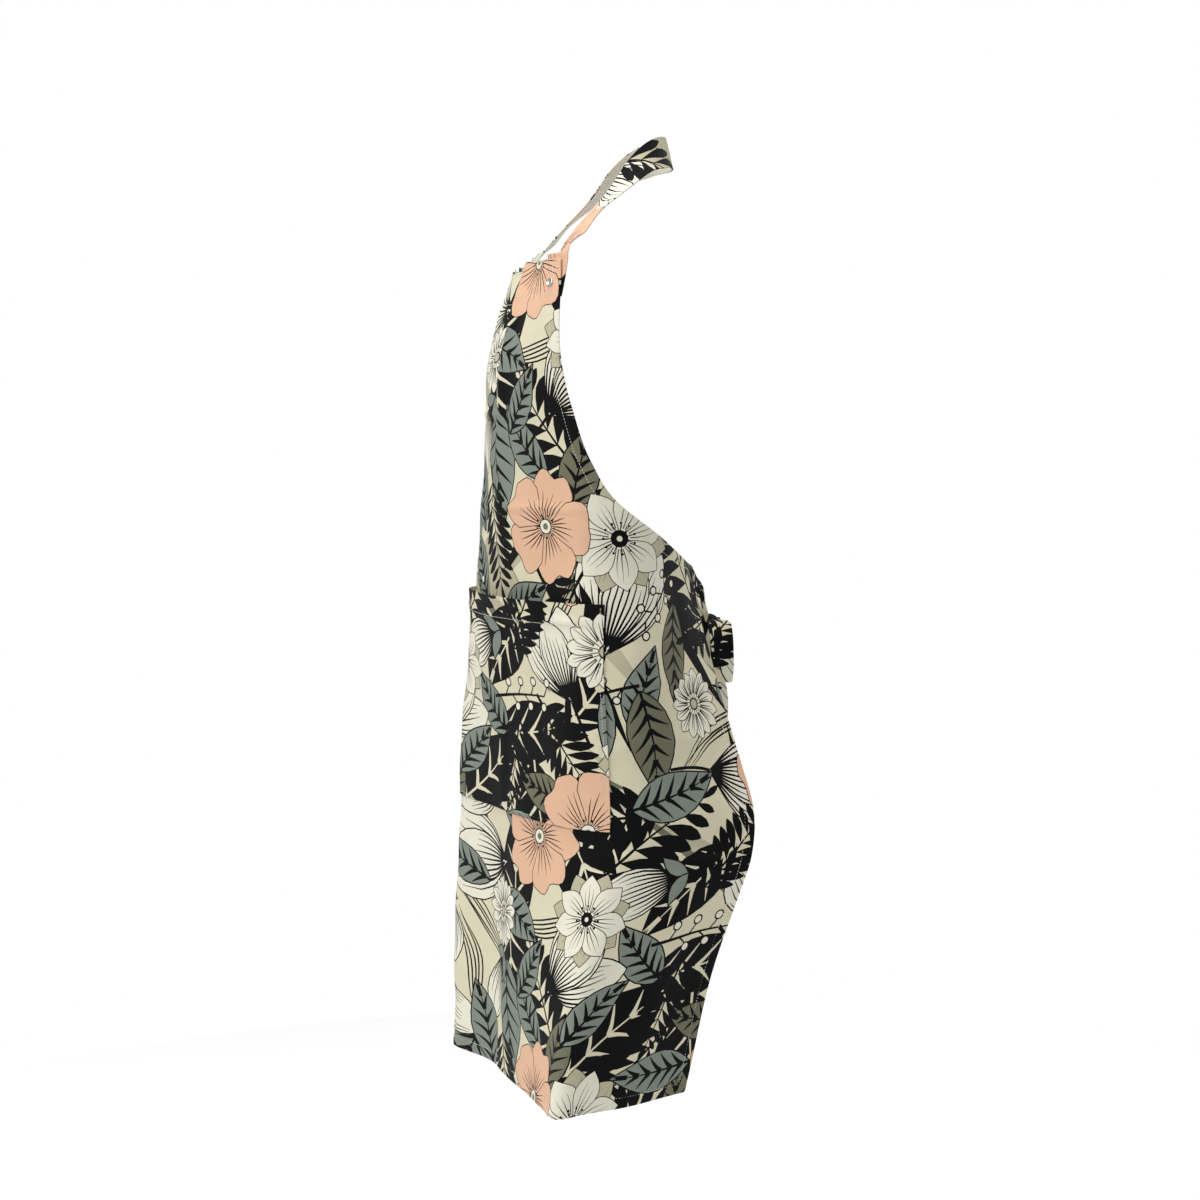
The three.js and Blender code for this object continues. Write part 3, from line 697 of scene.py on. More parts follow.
def split_edges(points, edges):
    lengths = np.linalg.norm(points[edges[:, 1]] - points[edges[:, 0]], axis=1)
    long = lengths > LONGEST_SEAM
    places, pieces, count = [points], [edges[~long]], len(points)
    for (a, b), length in zip(edges[long], lengths[long]):
        between = np.linspace(points[a], points[b], math.ceil(length / LONGEST_SEAM) + 1)[1:-1]
        chain = np.array([a, *range(count, count + len(between)), b])
        places.append(between)
        pieces.append(np.column_stack([chain[:-1], chain[1:]]))
        count += len(between)
    return np.vstack(places), np.vstack(pieces)


# Triangles inside an outline, cut where the ink changes under the shapes laid on it, with the
# ink of each triangle, and each corner's number in the outline
class Cut:
    def __init__(self, outline, prints=(), bare=None, extra=(), hole=None):
        loops = [outline, *([] if hole is None else [hole])]
        edges, points = loop_edges(loops), np.vstack(loops)
        shapes = [shape for _, shape in prints]
        inks = np.array([*[ink for ink, _ in prints], WRONG_SIDE if bare is None else bare])
        if shapes:
            laid = loop_edges([*loops, *shapes])
            corners, triangles, _ = triangulated(np.vstack([points, *shapes]), laid)
            _, kinds = np.unique(inks, axis=0, return_inverse=True)
            top = uppermost(shapes, corners[triangles].mean(axis=1))
            seams = parting_edges(triangles, kinds.ravel()[top])
            used = np.unique(seams)
            places, pieces = split_edges(corners[used], np.searchsorted(used, seams))
            edges += (pieces + len(points)).tolist()
            points = np.vstack([points, places])
        if len(extra):
            points = np.vstack([points, extra])
        corners, triangles, origins = triangulated(points, edges)
        middles = corners[triangles].mean(axis=1)
        kept = inside(outline, middles)
        if hole is not None:
            kept &= ~inside(hole, middles)
        triangles, middles = triangles[kept], middles[kept]
        used = np.unique(triangles)
        renumber = np.full(len(corners), -1)
        renumber[used] = np.arange(len(used))
        self.triangles = renumber[triangles]
        self.flat = corners[used]
        self.given = {min(origins[k]): renumber[k] for k in used if origins[k]}
        self.inks = inks[uppermost(shapes, middles)]

    # Corners of the outer edge in order, and the triangle inside each of its steps
    def rim(self):
        a = self.triangles.ravel()
        b = np.roll(self.triangles, -1, axis=1).ravel()
        owner = np.repeat(np.arange(len(self.triangles)), 3)
        count = len(self.flat)
        open_edge = ~np.isin(a * count + b, b * count + a)
        following = dict(zip(a[open_edge], zip(b[open_edge], owner[open_edge])))
        corner = next(iter(following))
        loop, owners = [], []
        for _ in range(len(following)):
            loop.append(corner)
            corner, triangle = following[corner]
            owners.append(triangle)
        return np.array(loop), np.array(owners)


# Names of a mesh's layers, and the gap on the chart between its right and wrong side
CHART = "OFBake"
INK = "ink"
WEAVE = "weave"
CHART_GAP = 12

# How far a cloth's edge bulges and how wide half of it is, as shares of the thickness
BULGE = 0.35
HALF_EDGE = 0.7

# Pitch of the corners inside a cloth's outline
CLOTH_PITCH = 7


# Mesh that is put together from groups of faces, each with its own flat chart and inks
class Build:
    def __init__(self):
        self.points, self.normals = [], []
        self.faces, self.charts, self.inks = [], [], []
        self.count = 0

    def add_points(self, points, normals):
        self.points.append(points)
        self.normals.append(normals)
        self.count += len(points)
        return np.arange(self.count - len(points), self.count)

    def add_faces(self, faces, chart, inks):
        self.faces.extend(faces.tolist())
        self.charts.append(chart.reshape(-1, 2))
        self.inks.append(np.repeat(inks, faces.shape[1], axis=0))

    def mesh(self, name):
        mesh = bpy.data.meshes.new(name)
        mesh.from_pydata(np.vstack(self.points) * MM, [], self.faces)
        mesh.shade_smooth()
        chart = np.vstack(self.charts)
        chart = (chart - chart.min(axis=0)) / np.ptp(chart, axis=0).max()
        layer = mesh.uv_layers.new(name=CHART, do_init=False)
        layer.uv.foreach_set("vector", chart.astype(np.float32).ravel())
        inks = np.column_stack([np.vstack(self.inks), np.ones(len(chart))]).astype(np.float32)
        colour = mesh.color_attributes.new(INK, "FLOAT_COLOR", "CORNER")
        colour.data.foreach_set("color", inks.ravel())
        place = mesh.attributes.new(WEAVE, "FLOAT2", "CORNER")
        place.data.foreach_set("vector", (np.vstack(self.charts) * MM).astype(np.float32).ravel())
        mesh.normals_split_custom_set_from_vertices(np.vstack(self.normals).tolist())
        return mesh


# Closed piece of cloth over its flat outline. Its right side is cut along the print's shapes,
# and its wrong side shows them faintly within the inset, outside which the hem lies double.
def cloth_mesh(name, surface, outline, thickness, start, pitch=CLOTH_PITCH, inset=None):
    build = Build()
    prints = print_on(outline, start)
    right = Cut(outline, prints, INKS["ground"], lattice(outline, pitch))
    loop, owners = right.rim()
    points, normals = surface.point(right.flat), surface.normal(right.flat)
    outer = build.add_points(points, normals)
    faces = right.triangles[:, ::-1]
    build.add_faces(outer[faces], right.flat[faces], right.inks)

    edge, edge_normals, flat_edge = points[loop], normals[loop], right.flat[loop]
    along = unit(np.roll(edge, -1, axis=0) - np.roll(edge, 1, axis=0))
    out = np.cross(edge_normals, along)
    middle = edge + (out * BULGE - edge_normals / 2) * thickness
    fold = build.add_points(middle, out)
    behind = build.add_points(edge - edge_normals * thickness, -edge_normals)
    width = np.ptp(outline[:, 0])
    aside = np.array([width + CHART_GAP, 0])
    flat_away = right_of(unit(np.roll(flat_edge, -1, axis=0) - np.roll(flat_edge, 1, axis=0)))
    flat_out = flat_edge + flat_away * thickness * HALF_EDGE
    for top, low, top_chart, low_chart in (
        (outer[loop], fold, flat_edge, flat_out),
        (fold, behind, flat_out + aside, flat_edge + aside),
    ):
        after = np.roll(np.arange(len(loop)), -1)
        quads = np.column_stack([top, top[after], low[after], low])
        chart = np.stack([top_chart, top_chart[after], low_chart[after], low_chart], axis=1)
        build.add_faces(quads, chart, right.inks[owners])

    def add_plain(cut, given):
        numbers = behind_numbers(build, surface, cut, given, thickness)
        inks = np.tile(WRONG_SIDE, (len(cut.triangles), 1))
        build.add_faces(numbers[cut.triangles], cut.flat[cut.triangles] + aside, inks)

    if inset is None:
        add_plain(Cut(flat_edge, extra=lattice(flat_edge, pitch)), behind)
        return build.mesh(name)

    wrong = Cut(inset, ghosts_of(prints), extra=lattice(inset, pitch))
    normals = surface.normal(wrong.flat)
    points = surface.point(wrong.flat)
    plain = build.add_points(points - normals * CLOTH, -normals)
    build.add_faces(plain[wrong.triangles], wrong.flat[wrong.triangles] + aside, wrong.inks)
    hem_loop, _ = wrong.rim()
    raised = build.add_points((points - normals * thickness)[hem_loop], -normals[hem_loop])
    after = np.roll(np.arange(len(hem_loop)), -1)
    quads = np.column_stack([raised, raised[after], plain[hem_loop][after], plain[hem_loop]])
    flat_hem = wrong.flat[hem_loop]
    chart = np.stack([flat_hem, flat_hem[after], flat_hem[after], flat_hem], axis=1) + aside
    build.add_faces(quads, chart, np.tile(WRONG_SIDE, (len(quads), 1)))
    add_plain(Cut(flat_edge, hole=flat_hem), np.concatenate([behind, raised]))
    return build.mesh(name)


# Mesh numbers of a cut's corners: those given in its loops are in the mesh already
def behind_numbers(build, surface, cut, given, thickness):
    numbers = np.full(len(cut.flat), -1)
    for order, corner in cut.given.items():
        if order < len(given):
            numbers[corner] = given[order]
    fresh = np.flatnonzero(numbers < 0)
    if len(fresh):
        normals = surface.normal(cut.flat[fresh])
        points = surface.point(cut.flat[fresh]) - normals * thickness
        numbers[fresh] = build.add_points(points, -normals)
    return numbers


# Colour of an ink from its usual screen numbers
def screen_ink(red, green, blue):
    values = np.array([red, green, blue]) / 255
    return np.where(values <= 0.04045, values / 12.92, ((values + 0.055) / 1.055) ** 2.4)


# Inks of the print, and how much of them shows through on the cloth's wrong side
INKS = {
    "ground": screen_ink(214, 208, 180),
    "black": screen_ink(9, 9, 10),
    "leaf": screen_ink(128, 136, 126),
    "olive": screen_ink(112, 112, 92),
    "stone": screen_ink(184, 178, 152),
    "peach": screen_ink(222, 180, 150),
    "white": screen_ink(226, 223, 205),
}
WRONG_SIDE = screen_ink(222, 218, 204)
SHOWN_THROUGH = 0.28
LEAST_GHOST = 260
LEAST_COVER = 900


# Shapes of the print that fall on a piece whose flat axes start at the given place of the
# repeat, without those that lie wholly under a later one
def print_on(outline, start):
    low, high = outline.min(axis=0), outline.max(axis=0)
    lows = np.array([shape.min(axis=0) for _, shape in TILE]) - start
    highs = np.array([shape.max(axis=0) for _, shape in TILE]) - start
    first = np.floor((low - highs.max(axis=0)) / REPEAT).astype(int)
    last = np.ceil((high - lows.min(axis=0)) / REPEAT).astype(int)
    placed = []
    for column in range(first[0], last[0] + 1):
        for row in range(first[1], last[1] + 1):
            shift = np.array([column, row]) * REPEAT
            reaches = ((highs + shift > low) & (lows + shift < high)).all(axis=1)
            placed += [(number, column, row) for number in np.flatnonzero(reaches)]
    covers, cover_lows, cover_highs, shown = [], np.empty((0, 2)), np.empty((0, 2)), []
    for number, column, row in sorted(placed, reverse=True):
        colour, shape = TILE[number]
        shape = counter_clockwise(shape + np.array([column, row]) * REPEAT - start)
        shape_low, shape_high = shape.min(axis=0), shape.max(axis=0)
        around = ((cover_lows < shape_low) & (cover_highs > shape_high)).all(axis=1)
        if any(inside(covers[k], shape).all() for k in np.flatnonzero(around)):
            continue
        shown.append((INKS[colour], shape))
        if signed_area(shape) > LEAST_COVER:
            covers.append(shape)
            cover_lows = np.vstack([cover_lows, shape_low])
            cover_highs = np.vstack([cover_highs, shape_high])
    return shown[::-1]


def ghosts_of(prints):
    return [
        (WRONG_SIDE * (1 - SHOWN_THROUGH) + ink * SHOWN_THROUGH, shape)
        for ink, shape in prints
        if signed_area(shape) > LEAST_GHOST
    ]


# Print: a repeat of leaves, fronds, buds and blossoms. Each motif is a list of inks and flat
# outlines in millimetres, from the lowest to the uppermost, about its own root or middle.
REPEAT = 640
LINE = 0.8
PRINT_SEED = 11


# Outline of a band along a line, as wide on each side as its half widths say
def band(line, halves):
    line = np.asarray(line, float)
    side = right_of(unit(np.gradient(line, axis=0))) * np.asarray(halves)[:, None]
    return np.vstack([line + side, (line - side)[::-1]])


# Points at shares of a bent line from the root, which leans away from its start by the bend
def on_bend(t, length, bend):
    return np.column_stack([t * length, bend * length * t * t])


def bent(length, bend, count):
    return on_bend(np.linspace(0, 1, count), length, bend)


# Power of the share along a leaf or petal that makes it widest at the given share
def swell(widest):
    return math.log(0.5) / math.log(widest)


# Outline of a leaf or petal along a bent line
def blade(length, width, bend=0.0, widest=0.45, tip=1.0, count=13):
    t = (1 - np.cos(np.linspace(0, math.pi, count))) / 2
    half = width / 2 * np.sin(math.pi * t ** swell(widest)) ** tip
    line = on_bend(t, length, bend)
    along = unit(np.column_stack([np.ones(count), 2 * bend * t]))
    side = right_of(along) * half[:, None]
    return np.vstack([line + side, (line - side)[-2:0:-1]])


def turn(shapes, angle, shift=(0, 0)):
    c, s = math.cos(angle), math.sin(angle)
    matrix = np.array([[c, s], [-s, c]])
    return [(ink, outline @ matrix + shift) for ink, outline in shapes]


def grown(outline, by):
    along = unit(np.roll(outline, -1, axis=0) - np.roll(outline, 1, axis=0))
    return outline + right_of(along) * by * np.sign(signed_area(outline))


def disc(radius, middle=(0, 0), count=14):
    angles = 2 * math.pi * np.arange(count) / count
    return np.column_stack([np.cos(angles), np.sin(angles)]) * radius + middle


def outlined(ink, outline, line=LINE, edge="black"):
    return [(edge, grown(outline, line)), (ink, grown(outline, -line))]


# Leaf with a midrib and paired veins that thin out towards its edge
LEAF_WIDEST = 0.42


def leaf(size, draw, fill="leaf", vein="black", pairs=6):
    width = size * draw.uniform(0.42, 0.52)
    bend = draw.uniform(-0.22, 0.22)
    shapes = outlined(fill, blade(size, width, bend, widest=LEAF_WIDEST))
    shapes.append((vein, band(bent(size * 0.97, bend * 0.97, 8), np.linspace(1.7, 0.3, 8))))
    for start in np.linspace(0.1, 0.8, pairs):
        reach = min(start + 0.16, 0.97)
        for side in (1, -1):
            edge = 0.88 * width / 2 * math.sin(math.pi * reach ** swell(LEAF_WIDEST))
            t = np.linspace(0, 1, 4)
            x = size * (start + (reach - start) * t)
            y = bend * size * (x / size) ** 2 + side * edge * t**1.25
            shapes.append((vein, band(np.column_stack([x, y]), 2.5 * (1 - t) ** 0.7 + 0.3)))
    return shapes


# Frond of paired leaflets on a bent stem
def frond(size, draw, fill="black", pairs=9, slim=0.2):
    bend = draw.uniform(-0.3, 0.3)
    shapes = [(fill, band(bent(size, bend, 10), np.linspace(2.2, 0.5, 10)))]
    for t in np.linspace(0.14, 0.93, pairs):
        length = size * 0.36 * math.sin(math.pi * (0.25 + 0.68 * t)) ** 0.8
        root = (t * size, bend * size * t * t)
        lean = math.atan(2 * bend * t)
        for side in (1, -1):
            width = length * slim + 2.5
            leaflet = blade(length, width, 0.12 * side, widest=0.62, tip=0.8, count=8)
            shapes += turn([(fill, leaflet)], lean + side * 0.85, root)
    tip = [(fill, blade(size * 0.2, 8, widest=0.6, count=8))]
    return shapes + turn(tip, math.atan(2 * bend), (size * 0.97, bend * size * 0.94))


# Long blades of grass that fan from one root
def blades(size, draw, fills=("olive", "stone", "black")):
    shapes = []
    for k in range(len(fills)):
        length = size * draw.uniform(0.75, 1)
        long_blade = blade(length, size * 0.085, draw.uniform(-0.3, 0.3), widest=0.4, count=11)
        shapes += turn([(fills[k], long_blade)], (k - 1) * 0.16 + draw.uniform(-0.05, 0.05))
    return shapes


# Bud of hatched lines that follow its outline from the stem to the tip
BUD_WIDEST = 0.6
BUD_TIP = 0.8


def bud(size, draw, fill="white", lines=10, stem=0.3):
    width = size * draw.uniform(0.44, 0.54)
    bend = draw.uniform(-0.1, 0.1)
    shapes = [("black", band(bent(-size * stem, draw.uniform(-0.4, 0.4), 6), np.full(6, 1.4)))]
    shapes += outlined(fill, blade(size, width, bend, widest=BUD_WIDEST, tip=BUD_TIP))
    for share in np.linspace(-0.86, 0.86, lines):
        low, high = draw.uniform(0.02, 0.12), draw.uniform(0.55, 0.95)
        t = np.linspace(low, high, 5)
        half = width / 2 * np.sin(math.pi * t ** swell(BUD_WIDEST)) ** BUD_TIP
        line = np.column_stack([t * size, bend * size * t * t + share * half])
        shapes.append(("black", band(line, 1.25 * (1 - (t - low) / (high - low)) ** 0.6 + 0.2)))
    for side in (1, -1):
        sepal = outlined("leaf", blade(size * 0.34, size * 0.15, 0.3 * side, count=9))
        shapes += turn(sepal, side * 0.55)
    return shapes


# Cup of three hatched petals, seen from the side: each is a bud without its stem and sepals
BUD_PETAL = slice(1, -4)


def cup(size, draw):
    shapes = [("black", band(bent(-size * 0.5, draw.uniform(-0.3, 0.3), 6), np.full(6, 1.8)))]
    for lean in (0.34, -0.34, 0.0):
        petal = bud(size * (1 if lean else 0.92), draw, lines=8)[BUD_PETAL]
        shapes += turn(petal, lean)
    return shapes


# Open blossom of rounded petals with a notch in each, and fine lines from its middle
def blossom(size, draw, fill="peach", petals=5, lines=5):
    radius = size / 2
    shapes = []
    reach = math.pi / petals
    for k in range(petals):
        angle = np.linspace(-reach * 1.12, reach * 1.12, 15)
        share = angle / (reach * 1.12)
        edge = radius * (1 - 0.1 * np.exp(-((share / 0.22) ** 2)) - 0.32 * np.abs(share) ** 4)
        edge *= 1 + 0.03 * np.sin(9 * share + draw.uniform(0, 6))
        rim = np.column_stack([np.cos(angle), np.sin(angle)]) * edge[:, None]
        outline = np.vstack([rim, [[radius * 0.05, 0]]])
        petal = outlined(fill, outline, line=0.5)
        for lean in np.linspace(-0.62, 0.62, lines):
            length = radius * draw.uniform(0.5, 0.72)
            heading = lean * reach
            t = np.linspace(0.2, 1, 4) * length
            bow = 0.05 * np.linspace(-1, 1, 4)
            line = np.column_stack([t * math.cos(heading), t * np.sin(heading + bow)])
            petal.append(("black", band(line, [0.35, 0.7, 0.6, 0.15])))
        shapes += turn(petal, 2 * reach * k)
    shapes += outlined("white", disc(radius * 0.13), line=0.6)
    for dot in disc(radius * 0.2, count=9):
        shapes.append(("black", disc(radius * 0.022, dot, 7)))
    shapes.append(("olive", disc(radius * 0.06, count=9)))
    return shapes


# Blossom of pointed petals in two layers round a dark middle
def star(size, draw, fill="white", under="stone", petals=7):
    radius = size / 2
    shapes = []
    for layer, ink, shift in ((1.0, under, math.pi / petals), (0.93, fill, 0.0)):
        for k in range(petals):
            length = radius * layer * draw.uniform(0.93, 1.0)
            bend = draw.uniform(-0.08, 0.08)
            petal = outlined(ink, blade(length, radius * 0.52, bend, widest=0.6), line=0.45)
            for share in (-0.4, 0, 0.4):
                t = np.linspace(0.2, draw.uniform(0.6, 0.85), 5)
                line = np.column_stack([t * length, share * radius * 0.24 * np.sin(math.pi * t**1.3)])
                petal.append(("black", band(line, [0.6, 0.55, 0.4, 0.25, 0.12])))
            shapes += turn(petal, 2 * math.pi * k / petals + shift)
    shapes.append(("black", disc(radius * 0.15, count=16)))
    for dot in disc(radius * 0.27, count=11):
        shapes.append(("black", band([dot * 0.4, dot], [0.7, 0.3])))
        shapes.append(("black", disc(1.5, dot, 7)))
    shapes.append(("white", disc(radius * 0.05, count=9)))
    return shapes


# Many narrow hatched petals round a small middle
def daisy(size, draw, petals=15):
    radius = size / 2
    shapes = []
    for k in range(petals):
        length = radius * draw.uniform(0.86, 1.0)
        petal = outlined("white", blade(length, radius * 0.36, widest=0.7, tip=0.7, count=9), line=0.5)
        for share in (-0.35, 0.3):
            t = np.linspace(0.3, draw.uniform(0.7, 0.95), 4)
            line = np.column_stack([t * length, share * radius * 0.17 * t])
            petal.append(("black", band(line, [0.7, 0.6, 0.45, 0.15])))
        shapes += turn(petal, 2 * math.pi * k / petals)
    return shapes + outlined("stone", disc(radius * 0.15), line=0.9)


# Wavy hair lines side by side
def reeds(size, draw, lines=5):
    shapes = []
    t = np.linspace(0, 1, 12)
    wave, phase = draw.uniform(0.02, 0.05), draw.uniform(0, 6)
    for k in range(lines):
        sway = size * wave * np.sin(6 * t + phase) + 3.4 * (k - lines / 2) * (0.5 + np.sin(math.pi * t))
        line = np.column_stack([t * size * draw.uniform(0.85, 1), sway])
        shapes.append(("black", band(line, 0.95 * np.sin(math.pi * (0.06 + 0.9 * t)) + 0.1)))
    return shapes


# Bent twig with outlined berries on short stalks
def sprig(size, draw, berries=7):
    bend = draw.uniform(-0.35, 0.35)
    shapes = [("black", band(bent(size, bend, 9), np.linspace(2.0, 0.9, 9)))]
    for k, t in enumerate(np.linspace(0.2, 1.0, berries)):
        side = 1 if k % 2 else -1
        root = np.array([t * size, bend * size * t * t])
        stalk = size * 0.14
        tip = root + [stalk * 0.7, side * stalk]
        middle = (root + tip) / 2 + [stalk * 0.12, 0]
        shapes.append(("black", band([root, middle, tip], [1.0, 0.9, 0.8])))
        shapes += outlined("white", disc(size * 0.05, tip, 11), line=0.9)
    return shapes


# Layers of the repeat from the lowest up: a motif with its choices, how many of it there are,
# and its smallest and largest size
LAYERS = [
    (blades, {"fills": ("olive", "stone", "black")}, 8, 190, 260),
    (leaf, {"fill": "black", "vein": "ground", "pairs": 5}, 10, 130, 180),
    (frond, {"slim": 0.3, "pairs": 7}, 6, 150, 200),
    (reeds, {}, 9, 130, 190),
    (blossom, {"fill": "stone", "lines": 0}, 2, 150, 175),
    (leaf, {}, 15, 90, 150),
    (leaf, {"fill": "olive"}, 6, 90, 120),
    (cup, {}, 7, 100, 130),
    (bud, {}, 8, 85, 115),
    (frond, {}, 9, 110, 150),
    (star, {}, 4, 105, 130),
    (daisy, {}, 4, 80, 100),
    (leaf, {}, 8, 80, 110),
    (sprig, {}, 4, 80, 110),
    (blossom, {}, 4, 125, 150),
]
MOTIF_REACH = 0.33


# The uppermost layer is laid out first, and each motif takes the roomiest of a few places
def tile(seed, tries=40):
    draw = np.random.default_rng(seed)
    middles, reaches, shapes = np.empty((0, 2)), np.empty(0), []
    for motif, choices, count, smallest, largest in LAYERS[::-1]:
        layer = []
        for _ in range(count):
            size = draw.uniform(smallest, largest)
            motif_shapes = turn(motif(size, draw, **choices), draw.uniform(0, 2 * math.pi))
            corners = np.vstack([outline for _, outline in motif_shapes])
            tried = draw.uniform(0, REPEAT, (tries, 2))
            apart = np.abs(tried[:, None] - middles)
            room = np.linalg.norm(np.minimum(apart, REPEAT - apart), axis=2) - reaches
            place = tried[room.min(axis=1, initial=REPEAT).argmax()]
            middles, reaches = np.vstack([middles, place]), np.append(reaches, size * MOTIF_REACH)
            layer += turn(motif_shapes, 0, place - (corners.min(axis=0) + corners.max(axis=0)) / 2)
        shapes = layer + shapes
    return shapes


TILE = tile(PRINT_SEED)


# Creases left by packing, pressed into the cloth: where they lie down the cloth, their
# height, and the stretch of cloth across which they run
CREASES = table(
    ["drop", "height", "from", "to"],
    [
        [168, 1.6, -140, 140],
        [271, 2.4, -60, 190],
        [395, 2.0, -190, 190],
        [462, 2.2, 215, 350],
        [528, 1.6, 205, 365],
        [652, 2.6, 150, 368],
    ],
)
CREASE_REACH = 7
CREASE_END = 30


def creases(flat):
    height = np.zeros(len(flat))
    for k, drop in enumerate(CREASES["drop"]):
        ridge = np.clip(1 - np.abs(flat[:, 1] - drop) / CREASE_REACH, 0, 1)
        low, high = CREASES["from"][k], CREASES["to"][k]
        ends = smoothstep((flat[:, 0] - low) / CREASE_END) * smoothstep((high - flat[:, 0]) / CREASE_END)
        height += CREASES["height"][k] * ridge * ends
    return height


# Slow hollows of cloth that hangs free, from a few long waves that run mostly across
WAVES = 9
WAVE_LEAN = 0.6


def hollows(seed, height, shortest, longest):
    generator = np.random.default_rng(seed)
    waves = []
    for _ in range(WAVES):
        length, angle = generator.uniform(shortest, longest), generator.normal(0, WAVE_LEAN)
        waves.append([2 * math.pi / length, angle, generator.uniform(0, 2 * math.pi)])

    def relief(flat):
        total = np.zeros(len(flat))
        for pace, angle, phase in waves:
            total += np.sin(pace * (flat[:, 0] * math.cos(angle) + flat[:, 1] * math.sin(angle)) + phase)
        return total * height / math.sqrt(WAVES)

    return relief


# A stitch line draws the cloth in, and the double cloth beside it stands a little full
STITCH_GROOVE = {"height": -0.4, "middle": 0, "reach": 1.6}
STITCH_SWELL = {"height": 0.3, "middle": 6, "reach": 5}


def stitch_dip(distance):
    return sum(
        wave["height"] * np.exp(-(((distance - wave["middle"]) / wave["reach"]) ** 2))
        for wave in (STITCH_GROOVE, STITCH_SWELL)
    )


# How much wider the side hem measures across, where the armhole's edge runs aslant
def hem_slant(drop):
    reach = 4
    slope = (half_width(drop + reach) - half_width(drop - reach)) / (2 * reach)
    return np.sqrt(1 + slope * slope)


panel_hollows = hollows(seed=3, height=1.7, shortest=70, longest=180)
HOLLOWS_FROM_EDGE = 60


def panel_lift(flat):
    across, drop = np.abs(flat[:, 0]), flat[:, 1]
    side = (half_width(np.clip(drop, 0, PANEL_LENGTH)) - across) / hem_slant(drop)
    hems = [TOP_HEM - drop, EDGE_HEM - side, drop - (PANEL_LENGTH - EDGE_HEM)]
    from_edge = np.minimum(np.minimum(side, PANEL_LENGTH - drop), drop)
    dips = sum(stitch_dip(inside_hem) for inside_hem in hems)
    return dips + creases(flat) + panel_hollows(flat) * smoothstep(from_edge / HOLLOWS_FROM_EDGE)


# Pocket's seam from its edge, its height over the panel, and the rise of its double mouth hem
POCKET_SEAM = 4
POCKET_LIFT = CLEARANCE + CLOTH + 0.4
HEM_RISE = 0.7
HEM_STEP = 3


def pocket_gape(flat):
    aside = flat[:, 0] / POCKET_HALF_WIDTH
    below = (flat[:, 1] - POCKET_DROP) / POCKET_LENGTH
    rise = np.where(
        aside < POCKET_GAPE_AT,
        (1 + aside) / (1 + POCKET_GAPE_AT),
        (1 - aside) / (1 - POCKET_GAPE_AT),
    )
    return POCKET_GAPE * smoothstep(rise) * (1 - below) ** 3


def pocket_lift(flat):
    aside = POCKET_HALF_WIDTH - np.abs(flat[:, 0])
    fall = POCKET_DROP + POCKET_LENGTH - flat[:, 1]
    mouth = flat[:, 1] - POCKET_DROP
    dips = sum(stitch_dip(line) for line in (POCKET_SEAM - aside, POCKET_SEAM - fall, MOUTH_HEM - mouth))
    double = smoothstep((MOUTH_HEM - mouth) / HEM_STEP + 0.5) * HEM_RISE
    return panel_lift(flat) + POCKET_LIFT + pocket_gape(flat) + dips + double


# Longest steps along the outlines that are cut, and the pitch of the strips' corners
EDGE_STEP = 3.5
STRIP_PITCH = 2.5


# Edge of the panel, or of its face inside the hems
def panel_outline(top, side, bottom, step=EDGE_STEP):
    drops = steps(top, PANEL_LENGTH - bottom, step)
    widths = half_width(drops) - side * hem_slant(drops)
    right = np.column_stack([widths, drops])
    left = np.column_stack([-widths, drops])[::-1]
    corners = np.vstack([right, left])
    places = [right, dense(corners[[len(right) - 1, len(right)]], step)[1:-1], left]
    places.append(dense(np.array([left[-1], right[0]]), step)[1:-1])
    return counter_clockwise(np.vstack(places))


def rectangle(low, high, step=EDGE_STEP):
    corners = np.array([[low[0], low[1]], [high[0], low[1]], [high[0], high[1]], [low[0], high[1]], low])
    return counter_clockwise(dense(corners, step)[:-1])


def strip_outline(surface):
    low, high = (surface.across[0], surface.drops[0]), (surface.across[-1], surface.drops[-1])
    return rectangle(low, high, STRIP_PITCH)


# Thread along a flat line: one short rounded stitch after another, each of a ring of sides
STITCH_PITCH = 3.6
STITCH_SHARE = 0.68
THREAD_RADIUS = 0.42
THREAD_RINGS = np.array([[0, 0.25], [0.2, 0.9], [0.8, 0.9], [1, 0.25]])
THREAD_SIDES = 5


